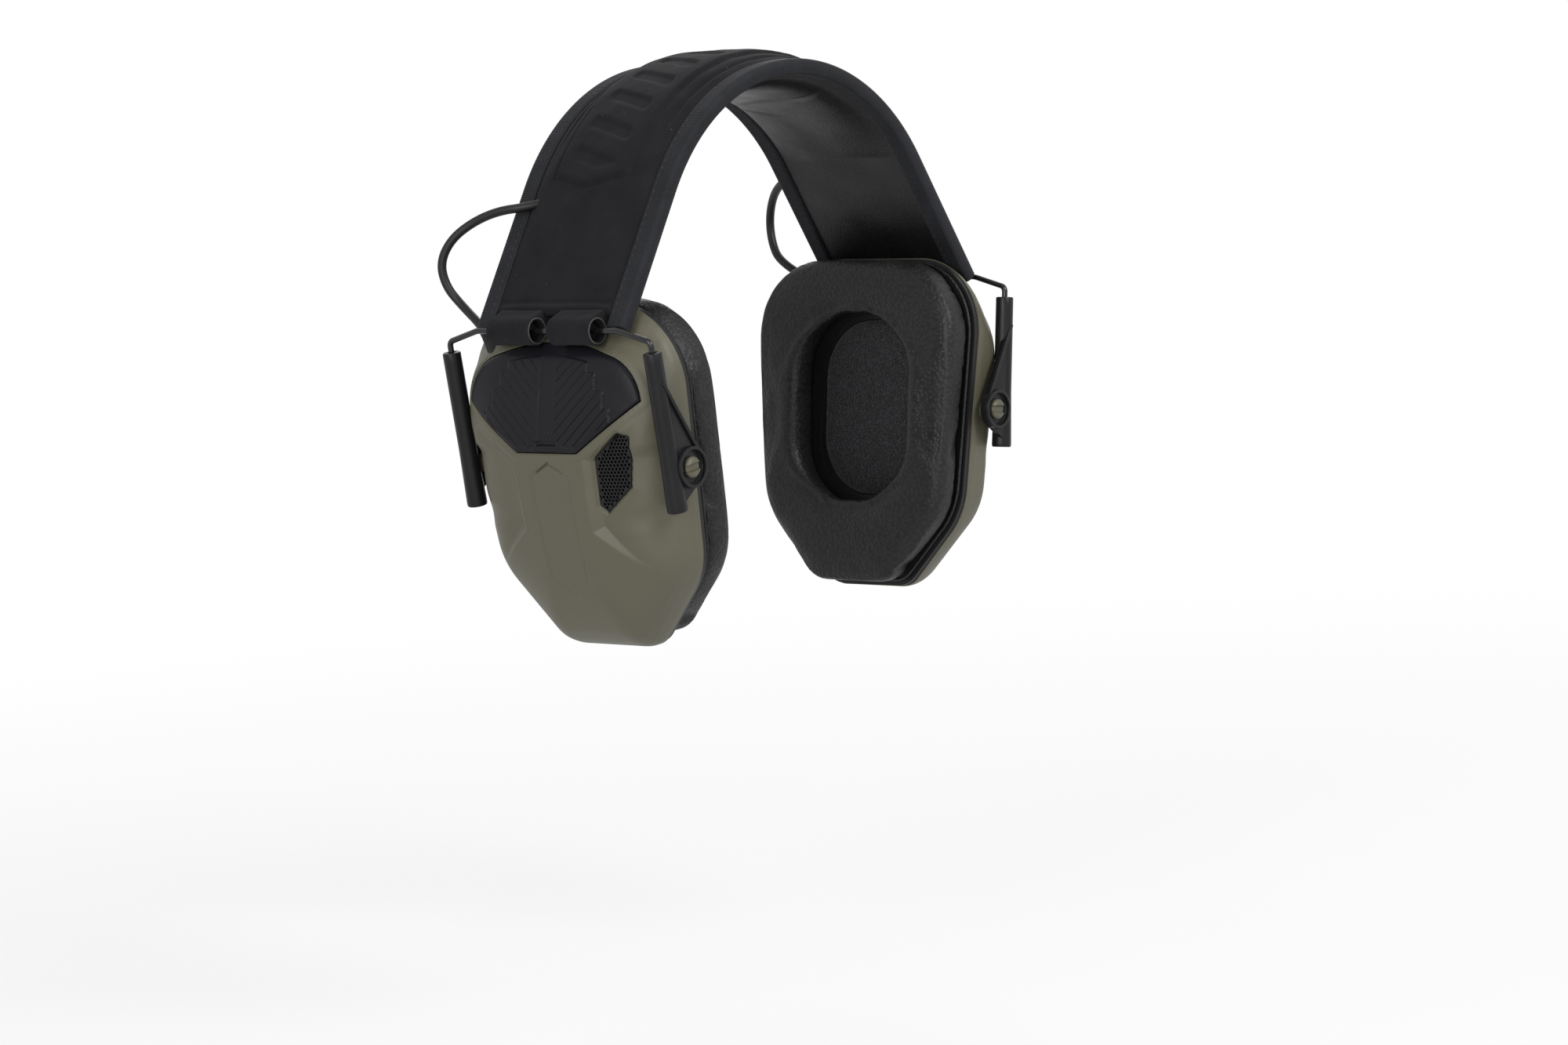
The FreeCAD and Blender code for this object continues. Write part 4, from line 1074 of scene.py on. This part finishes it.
def arm_mesh():
    """The rear slider arm: a tube that flares at its foot, a web, its rib and the stud's ring."""
    foot, top, bore = -13.2, 39.3, 1.25
    profile = [(0.7, top - 9.0), (bore, top - 9.0), (bore, top - 0.35), (bore + 0.3, top), (2.55, top),
               (2.9, top - 0.14), (tube_radius, top - 0.5)]
    profile += [(tube_radius, z) for z in np.linspace(36.0, 6.0, 8)]
    profile += [(tube_radius + 0.35 * (6.0 - z) / 18.0, z) for z in (0.0, -4.0, -8.0, -12.0)]
    profile += [(3.38, foot + 0.7), (3.25, foot + 0.2), (2.95, foot)]
    tube = turned(profile, 48, (-tube_out, tube_half_spacing), "z")
    corners = [(-tube_out, 30.0), (ring_radius * 0.75, ring_radius * 0.62),
               (ring_radius * 0.55, -ring_radius * 0.8), (-tube_out, -11.5)]
    plate = rounded_outline(corners, [1.0, 3.0, 3.0, 1.0], 8)
    web = rounded_slab(plate, web_face, web_face + web_thick, 0.35)
    slope = np.array(corners[1]) - np.array(corners[0])
    across = np.array([slope[1], -slope[0]]) / np.hypot(*slope) * 1.3
    low, high = np.array(corners[0]), np.array(corners[1])
    strip = rounded_outline([low, high, high + across, low + across], [0.5] * 4, 5)
    rib = rounded_slab(strip, web_face + 0.2, web_face + web_thick + 0.9, 0.35)
    inner, floor = 5.6, 46.8
    collar = [(3.42, web_face), (6.4, web_face), (6.75, web_face + 0.12), (ring_radius, web_face + 0.5),
              (ring_radius, ring_out - 0.55), (6.72, ring_out - 0.14), (6.4, ring_out), (6.0, ring_out),
              (5.72, ring_out - 0.14), (inner, ring_out - 0.5), (inner, floor + 0.3), (5.4, floor + 0.05),
              (5.1, floor), (3.42, floor)]
    ring = turned(collar, 72, (0.0, 0.0), "y", closed=True)
    return joined(tube, web, rib, ring)


key_places = {"volume_up_key": (-13.0, 25.0, 4.6), "volume_down_key": (13.0, 25.0, 4.6),
              "power_key": (0.0, 17.0, 5.6)}


def key_mesh(dome, name):
    """A domed key with a plus, a minus or a raised ring on it."""
    y0, z0, radius = key_places[name]
    centre = float(dome.out(np.array([y0]), np.array([z0]))[0])
    turns = cup_turns(72)
    rings = [(1.0, -5.0), (1.0, 0.7), (0.985, 1.0), (0.95, 1.25)] + [
        (share, 1.4 + 0.35 * (1.0 - share ** 2)) for share in np.linspace(0.9, 0.02, 30)]
    grid = []
    for share, rise in rings:
        y, z = around(origin, radius * share, turns)
        bar = np.maximum(np.abs(y) - 2.2, np.abs(z) - 0.4)
        upright = np.maximum(np.abs(z) - 2.2, np.abs(y) - 0.4)
        marks = {"volume_up_key": np.minimum(bar, upright), "volume_down_key": bar,
                 "power_key": np.abs(np.hypot(y, z) - 3.0) - 0.4}
        lift = 0.3 * smoothstep(0.25, -0.05, marks[name]) * (share < 0.92)
        grid.append(xyz(-(centre + rise + lift), y0 + y, z0 + z))
    return bench_mesh(name, *capped(np.array(grid)))


def build_cups():
    dome = Dome()
    lid_hole = bench_mesh("lid_hole", *prism(lid_outline(0.0, 120), cut_from, 1.0))
    grille_hole = bench_mesh("grille_hole", *prism(grille_outline(), cut_from, 1.0))
    shell = carve(shell_mesh(), [lid_hole, grille_hole])
    both_sides("cup_shell", shell, olive, "cup", ["cup_shell"], 32.0)
    rear_arm = bench_mesh("rear_arm", *arm_mesh())
    arms = {"rear_slider_arm": rear_arm, "front_slider_arm": mirrored(rear_arm, "front_arm", front_axis)}
    for name, mesh in arms.items():
        both_sides(name, mesh, black_nylon, "arms", [name], 35.0)
    both_sides("studs", studs_mesh(), olive, "cup", [], 35.0)
    both_sides("mic_grille", grille_mesh(dome), gloss_mesh, "cup", ["mic_grille"], 35.0)
    for piece in both_sides("cushion", stuffed_cushion(), pebbled_leather, "cup",
                            ["cushion"], 70.0):
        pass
    both_sides("cushion_welt", cushion_piping_mesh(), pebbled_leather, "cup", [], 60.0)
    for piece in both_sides("foam_liner", foam_mesh(), foam, "cup", ["foam_liner"], 60.0):
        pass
    lid = lid_mesh(dome)
    keyed = mirrored(lid, "keyed_lid")
    add_piece("battery_cover_look", lid, soft_touch, "battery_cover", ["battery_cover"], 38.0)
    holes = []
    for name, (y, z, radius) in key_places.items():
        tool = bench_mesh(name + "_hole", *prism(circle_outline((y, z), radius + 0.3), cut_from, 5.0))
        holes.append(mirrored(tool, name + "_hole_left"))
    add_piece("control_cover_look", carve(keyed, holes), soft_touch, "left_cup",
              ["control_cover"], 38.0)
    for name in key_places:
        key = mirrored(key_mesh(dome, name), name + "_left")
        add_piece(name + "_look", key, key_rubber, name, [name], 40.0)


# ---- materials
def shader(name, colour, roughness, coat=0.0, sheen=0.0, metallic=0.0, specular=0.25):
    """A named material with its Principled shader's own values set, and its node tree."""
    finish = bpy.data.materials.new(name)
    finish.use_nodes = True
    surface = finish.node_tree.nodes["Principled BSDF"]
    values = {"Base Color": (*colour, 1.0), "Roughness": roughness, "Metallic": metallic,
              "Specular IOR Level": specular, "Coat Weight": coat, "Coat Roughness": 0.12,
              "Sheen Weight": sheen, "Sheen Roughness": 0.5}
    for key, value in values.items():
        surface.inputs[key].default_value = value
    return finish, surface


def texture(finish, kind, scale, **values):
    """A 3-D texture in the object's own coordinates, with features per metre of the given scale."""
    nodes = finish.node_tree.nodes
    place = nodes.get("place") or nodes.new("ShaderNodeTexCoord")
    place.name = "place"
    node = nodes.new(kind)
    node.inputs["Scale"].default_value = scale
    for key, value in values.items():
        if key in node.inputs:
            node.inputs[key].default_value = value
        else:
            setattr(node, key, value)
    finish.node_tree.links.new(place.outputs["Object"], node.inputs["Vector"])
    return node


def noise_value(finish, scale, detail, **values):
    return texture(finish, "ShaderNodeTexNoise", scale, Detail=detail, **values).outputs["Fac"]


def cell_value(finish, scale, **values):
    return texture(finish, "ShaderNodeTexVoronoi", scale, **values).outputs["Distance"]


def ramp(finish, source, stops):
    """A colour ramp fed by a texture's value; stops are (place, grey or colour)."""
    node = finish.node_tree.nodes.new("ShaderNodeValToRGB")
    finish.node_tree.links.new(source, node.inputs["Fac"])
    band = node.color_ramp
    band.elements[0].position = stops[0][0]
    band.elements[1].position = stops[-1][0]
    for place, colour in stops[1:-1]:
        band.elements.new(place)
    for element, (place, colour) in zip(band.elements, stops):
        value = colour if isinstance(colour, tuple) else (colour, colour, colour)
        element.color = (*value, 1.0)
    return node.outputs["Color"]


def bump(finish, surface, source, distance, strength=1.0):
    """Adds a bump on top of those that the surface already has."""
    node = finish.node_tree.nodes.new("ShaderNodeBump")
    node.inputs["Distance"].default_value = distance * MM
    node.inputs["Strength"].default_value = strength
    links = finish.node_tree.links
    links.new(source, node.inputs["Height"])
    normal = surface.inputs["Normal"]
    if normal.is_linked:
        links.new(normal.links[0].from_socket, node.inputs["Normal"])
    links.new(node.outputs["Normal"], normal)


def tone(finish, surface, source, colour, low, high):
    """The base colour varied between two shares of itself by a texture's value."""
    dark = tuple(c * low for c in colour)
    light = tuple(min(c * high, 1.0) for c in colour)
    mixed = ramp(finish, source, [(0.3, dark), (0.7, light)])
    finish.node_tree.links.new(mixed, surface.inputs["Base Color"])


def gloss(finish, surface, source, low, high):
    mixed = ramp(finish, source, [(0.3, low), (0.7, high)])
    finish.node_tree.links.new(mixed, surface.inputs["Roughness"])


def cloth_material():
    colour = (0.0135, 0.0135, 0.0150)
    finish, surface = shader("cover_cloth", colour, 0.9, sheen=0.03, specular=0.08)
    knit = cell_value(finish, 2600.0, Randomness=0.75)
    fuzz = noise_value(finish, 900.0, 6.0)
    lint = cell_value(finish, 230.0, Randomness=1.0)
    patch = noise_value(finish, 90.0, 3.0)
    specks = ramp(finish, lint, [(0.024, 0.14), (0.042, 0.0)])
    shade = ramp(finish, patch, [(0.3, tuple(c * 0.85 for c in colour)),
                                                (0.7, tuple(c * 1.18 for c in colour))])
    mix = finish.node_tree.nodes.new("ShaderNodeMix")
    mix.data_type = "RGBA"
    mix.blend_type = "ADD"
    mix.inputs["Factor"].default_value = 1.0
    finish.node_tree.links.new(shade, mix.inputs["A"])
    finish.node_tree.links.new(specks, mix.inputs["B"])
    finish.node_tree.links.new(mix.outputs["Result"], surface.inputs["Base Color"])
    bump(finish, surface, knit, 0.14, 0.7)
    bump(finish, surface, fuzz, 0.1, 0.6)
    return finish


def ribbon_material():
    colour = (0.0115, 0.0120, 0.0145)
    finish, surface = shader("binding_ribbon", colour, 0.6, sheen=0.03, specular=0.15)
    fibre = noise_value(finish, 2400.0, 4.0)
    patch = noise_value(finish, 140.0, 3.0)
    tone(finish, surface, patch, colour, 0.8, 1.25)
    bump(finish, surface, fibre, 0.06, 0.7)
    return finish


def leather_material(name, colour, roughness, pebble, depth, patch_size):
    """Leatherette: pebbled cells or a fine smooth grain, with soft patches of gloss."""
    finish, surface = shader(name, colour, roughness, coat=0.05, specular=0.22)
    surface.inputs["Coat Roughness"].default_value = 0.35
    cells = cell_value(finish, pebble, feature="SMOOTH_F1", Smoothness=0.35)
    fine = noise_value(finish, pebble * 2.6, 4.0)
    patch = noise_value(finish, patch_size, 3.0)
    # Pebble tops painted lighter and the grooves between them darker: painted highlight and painted shade on
    # the grain.
    tone(finish, surface, cells, colour, 1.25, 0.7)
    gloss(finish, surface, patch, roughness - 0.07, roughness + 0.08)
    bump(finish, surface, ramp(finish, cells, [(0.1, 1.0), (0.75, 0.0)]), depth, 0.9)
    bump(finish, surface, fine, depth * 0.35, 0.5)
    return finish


def moulded_material(name, colour, roughness, grain=0.03, grain_scale=2200.0, coat=0.0, specular=0.25):
    """Moulded plastic: fine spark-eroded grain, faint flow marks and uneven gloss."""
    finish, surface = shader(name, colour, roughness, coat=coat, specular=specular)
    fine = noise_value(finish, grain_scale, 5.0)
    flow = noise_value(finish, 38.0, 4.0, Distortion=0.6)
    tone(finish, surface, flow, colour, 0.95, 1.05)
    gloss(finish, surface, flow, roughness - 0.05, roughness + 0.05)
    bump(finish, surface, fine, grain, 0.5)
    return finish


def metal_material(name, colour, roughness):
    finish, surface = shader(name, colour, roughness, metallic=1.0)
    brush = noise_value(finish, 1500.0, 3.0)
    gloss(finish, surface, brush, roughness - 0.08, roughness + 0.1)
    bump(finish, surface, brush, 0.01, 0.5)
    return finish


def foam_material():
    colour = (0.03, 0.03, 0.032)
    finish, surface = shader("open_foam", colour, 0.95, sheen=0.2)
    pores = cell_value(finish, 1500.0)
    # The pores' pits painted darker and their rims lighter: painted shade in the pores.
    tone(finish, surface, pores, colour, 0.35, 1.4)
    bump(finish, surface, pores, 0.3, 1.0)
    return finish


cloth = cloth_material()
ribbon = ribbon_material()
thread = moulded_material("sewing_thread", (0.020, 0.020, 0.023), 0.7, 0.05, 5200.0)
# Loop rims: the cut edge's greyer tone, lightened further as a painted highlight of its rounded edge.
cut_edge_and_highlight = moulded_material("cut_edge_and_highlight", (0.075, 0.073, 0.068), 0.8, 0.05, 5200.0)
smooth_leather = leather_material("pad_leather", (0.009, 0.0088, 0.009), 0.42, 1500.0, 0.05, 60.0)
pebbled_leather = leather_material("cushion_leather", (0.0125, 0.012, 0.0125), 0.46, 820.0, 0.16, 80.0)
jacket = moulded_material("lead_jacket", (0.009, 0.009, 0.009), 0.42, 0.02)
olive = moulded_material("olive_shell", (0.088, 0.083, 0.054), 0.48, 0.035, 2600.0, specular=0.4)
soft_touch = moulded_material("cover_rubber", (0.0085, 0.0085, 0.0110), 0.42, 0.02, 3000.0, specular=0.14)
key_rubber = moulded_material("key_rubber", (0.009, 0.009, 0.011), 0.6, 0.02, 3000.0)
gloss_mesh = moulded_material("gloss_mesh", (0.005, 0.005, 0.005), 0.2, 0.008, 1800.0, 0.15, 0.2)
foam = foam_material()
black_nylon = moulded_material("black_nylon", (0.0078, 0.0080, 0.0088), 0.36, 0.05, 1500.0, specular=0.2)
node_finishes = {
    "black_nylon": black_nylon,
    "black_plastic": moulded_material("black_plastic", (0.011, 0.011, 0.012), 0.45, 0.03),
    "coated_wire": moulded_material("coated_wire", (0.008, 0.008, 0.009), 0.16, 0.006, 900.0, 0.25),
    "soft_rubber": moulded_material("soft_rubber", (0.012, 0.012, 0.012), 0.7, 0.03),
    "steel_screw": metal_material("steel_screw", (0.55, 0.55, 0.56), 0.32),
    "contact_metal": metal_material("contact_metal", (0.62, 0.60, 0.54), 0.28),
    "driver_can": moulded_material("driver_can", (0.055, 0.055, 0.06), 0.35, 0.01),
    "cell_jacket": moulded_material("cell_jacket", (0.22, 0.23, 0.25), 0.3, 0.006, 1200.0, 0.5),
    "board_green": moulded_material("board_green", (0.02, 0.11, 0.05), 0.3, 0.02, 900.0, 0.4),
    "lead_jacket": jacket,
}


def finish_cad_nodes():
    """Every CAD node that stays visible takes the material of its slot."""
    for part in frame["record"]["subparts"]:
        finish = node_finishes.get(part["material_slot"])
        node = frame["nodes"][part["node"]]
        if finish is None:
            continue
        node.data.materials.clear()
        node.data.materials.append(finish)


# ---- stage, lamps and camera, in metres
def seen_directly(tree):
    """One for a camera, glossy or transmission ray, and nothing for light."""
    seen = tree.nodes.new("ShaderNodeLightPath")
    whole = seen.outputs["Is Camera Ray"]
    for kind in ("Is Glossy Ray", "Is Transmission Ray"):
        node = tree.nodes.new("ShaderNodeMath")
        node.operation = "MAXIMUM"
        tree.links.new(whole, node.inputs[0])
        tree.links.new(seen.outputs[kind], node.inputs[1])
        whole = node.outputs[0]
    return whole


def send_out(tree, share, plain, seen, output):
    """Sends out one shader for light, and another as far as the share says."""
    mix = tree.nodes.new("ShaderNodeMixShader")
    for socket, source in zip(mix.inputs, (share, plain, seen)):
        tree.links.new(source, socket)
    tree.links.new(mix.outputs[0], tree.nodes[output].inputs["Surface"])


def stage_material(name, shade):
    """A pale surface that the camera and reflections see as near white, more so further out."""
    finish, surface = shader(name, (shade, shade, shade), 0.9)
    tree = finish.node_tree
    grain = texture(finish, "ShaderNodeTexNoise", 3.0)
    tone(finish, surface, grain.outputs["Fac"], (shade, shade, shade), 0.995, 1.005)
    glow = tree.nodes.new("ShaderNodeEmission")
    away = tree.nodes.new("ShaderNodeVectorMath")
    away.operation = "LENGTH"
    spread = tree.nodes.new("ShaderNodeMapRange")
    spread.interpolation_type = "SMOOTHSTEP"
    for key, value in (("From Min", 0.2), ("From Max", 1.1), ("To Min", 0.72), ("To Max", 1.0)):
        spread.inputs[key].default_value = value
    share = tree.nodes.new("ShaderNodeMath")
    share.operation = "MULTIPLY"
    links = tree.links
    links.new(tree.nodes["place"].outputs["Object"], away.inputs[0])
    links.new(away.outputs["Value"], spread.inputs["Value"])
    links.new(seen_directly(tree), share.inputs[0])
    links.new(spread.outputs["Result"], share.inputs[1])
    send_out(tree, share.outputs[0], surface.outputs[0], glow.outputs[0], "Material Output")
    return finish


def build_stage():
    """A pale floor well below the headset, which hangs in the air as when it is worn."""
    floor_drop = 0.13
    floor_z = cad_box[0][2] - floor_drop
    mesh = bpy.data.meshes.new("floor")
    size = 6.0
    mesh.from_pydata([(-size, -size, floor_z), (size, -size, floor_z), (size, size, floor_z),
                      (-size, size, floor_z)], [], [(0, 1, 2, 3)])
    floor = new_object("floor", mesh)
    mesh.materials.append(stage_material("floor", 0.85))
    world = bpy.data.worlds.new("studio")
    bpy.context.scene.world = world
    world.use_nodes = True
    tree = world.node_tree
    back = tree.nodes["Background"]
    back.inputs["Color"].default_value = (0.9, 0.92, 1.0, 1.0)
    back.inputs["Strength"].default_value = 0.2
    white = tree.nodes.new("ShaderNodeBackground")
    white.inputs["Color"].default_value = (1.0, 1.0, 1.0, 1.0)
    white.inputs["Strength"].default_value = 1.0
    send_out(tree, seen_directly(tree), back.outputs[0], white.outputs[0], "World Output")


def add_lamp(name, azimuth, elevation, distance, size, power, aim=(0.0, 0.0, -0.08)):
    """A square soft lamp aimed at the headset, placed round it by direction."""
    light = bpy.data.lights.new(name, "AREA")
    light.shape = "RECTANGLE"
    light.size = size
    light.size_y = size * 1.3
    light.energy = power
    lamp = new_object(name, light)
    turn, rise = math.radians(azimuth), math.radians(elevation)
    away = Vector((math.sin(turn) * math.cos(rise), -math.cos(turn) * math.cos(rise), math.sin(rise)))
    lamp.location = Vector(aim) + away * distance
    lamp.rotation_euler = away.to_track_quat("Z", "Y").to_euler()


def build_lamps():
    add_lamp("key", 0.0, 36.0, 1.6, 0.6, 18.0)
    add_lamp("side", -80.0, 20.0, 1.6, 0.6, 10.5)
    add_lamp("fill", -60.0, 2.0, 2.0, 0.7, 7.5)
    add_lamp("back", 120.0, 32.0, 1.8, 1.0, 13.0)


def build_camera():
    """The viewpoint: right of the wearer's front, a little above, with a slight roll."""
    place = Vector((-1.13341, -0.97612, 0.03364))
    azimuth, elevation, roll = math.radians(49.72), math.radians(6.91), math.radians(-3.78)
    back = Vector((-math.sin(azimuth) * math.cos(elevation), -math.cos(azimuth) * math.cos(elevation),
                   math.sin(elevation)))
    level = Vector((math.cos(azimuth), -math.sin(azimuth), 0.0))
    rise = back.cross(level)
    right = level * math.cos(roll) + rise * math.sin(roll)
    up = rise * math.cos(roll) - level * math.sin(roll)
    lens = bpy.data.cameras.new("view")
    lens.sensor_width = 36.0
    lens.lens = 101.12
    lens.clip_end = 50.0
    camera = new_object("view", lens)
    turn = Matrix((right, up, back)).transposed().to_4x4()
    camera.matrix_world = Matrix.Translation(place) @ turn
    bpy.context.scene.camera = camera


build_camera()
build_leads()
build_headband()
build_cups()
finish_cad_nodes()
build_stage()
build_lamps()
bpy.context.scene.view_settings.view_transform = "Standard"
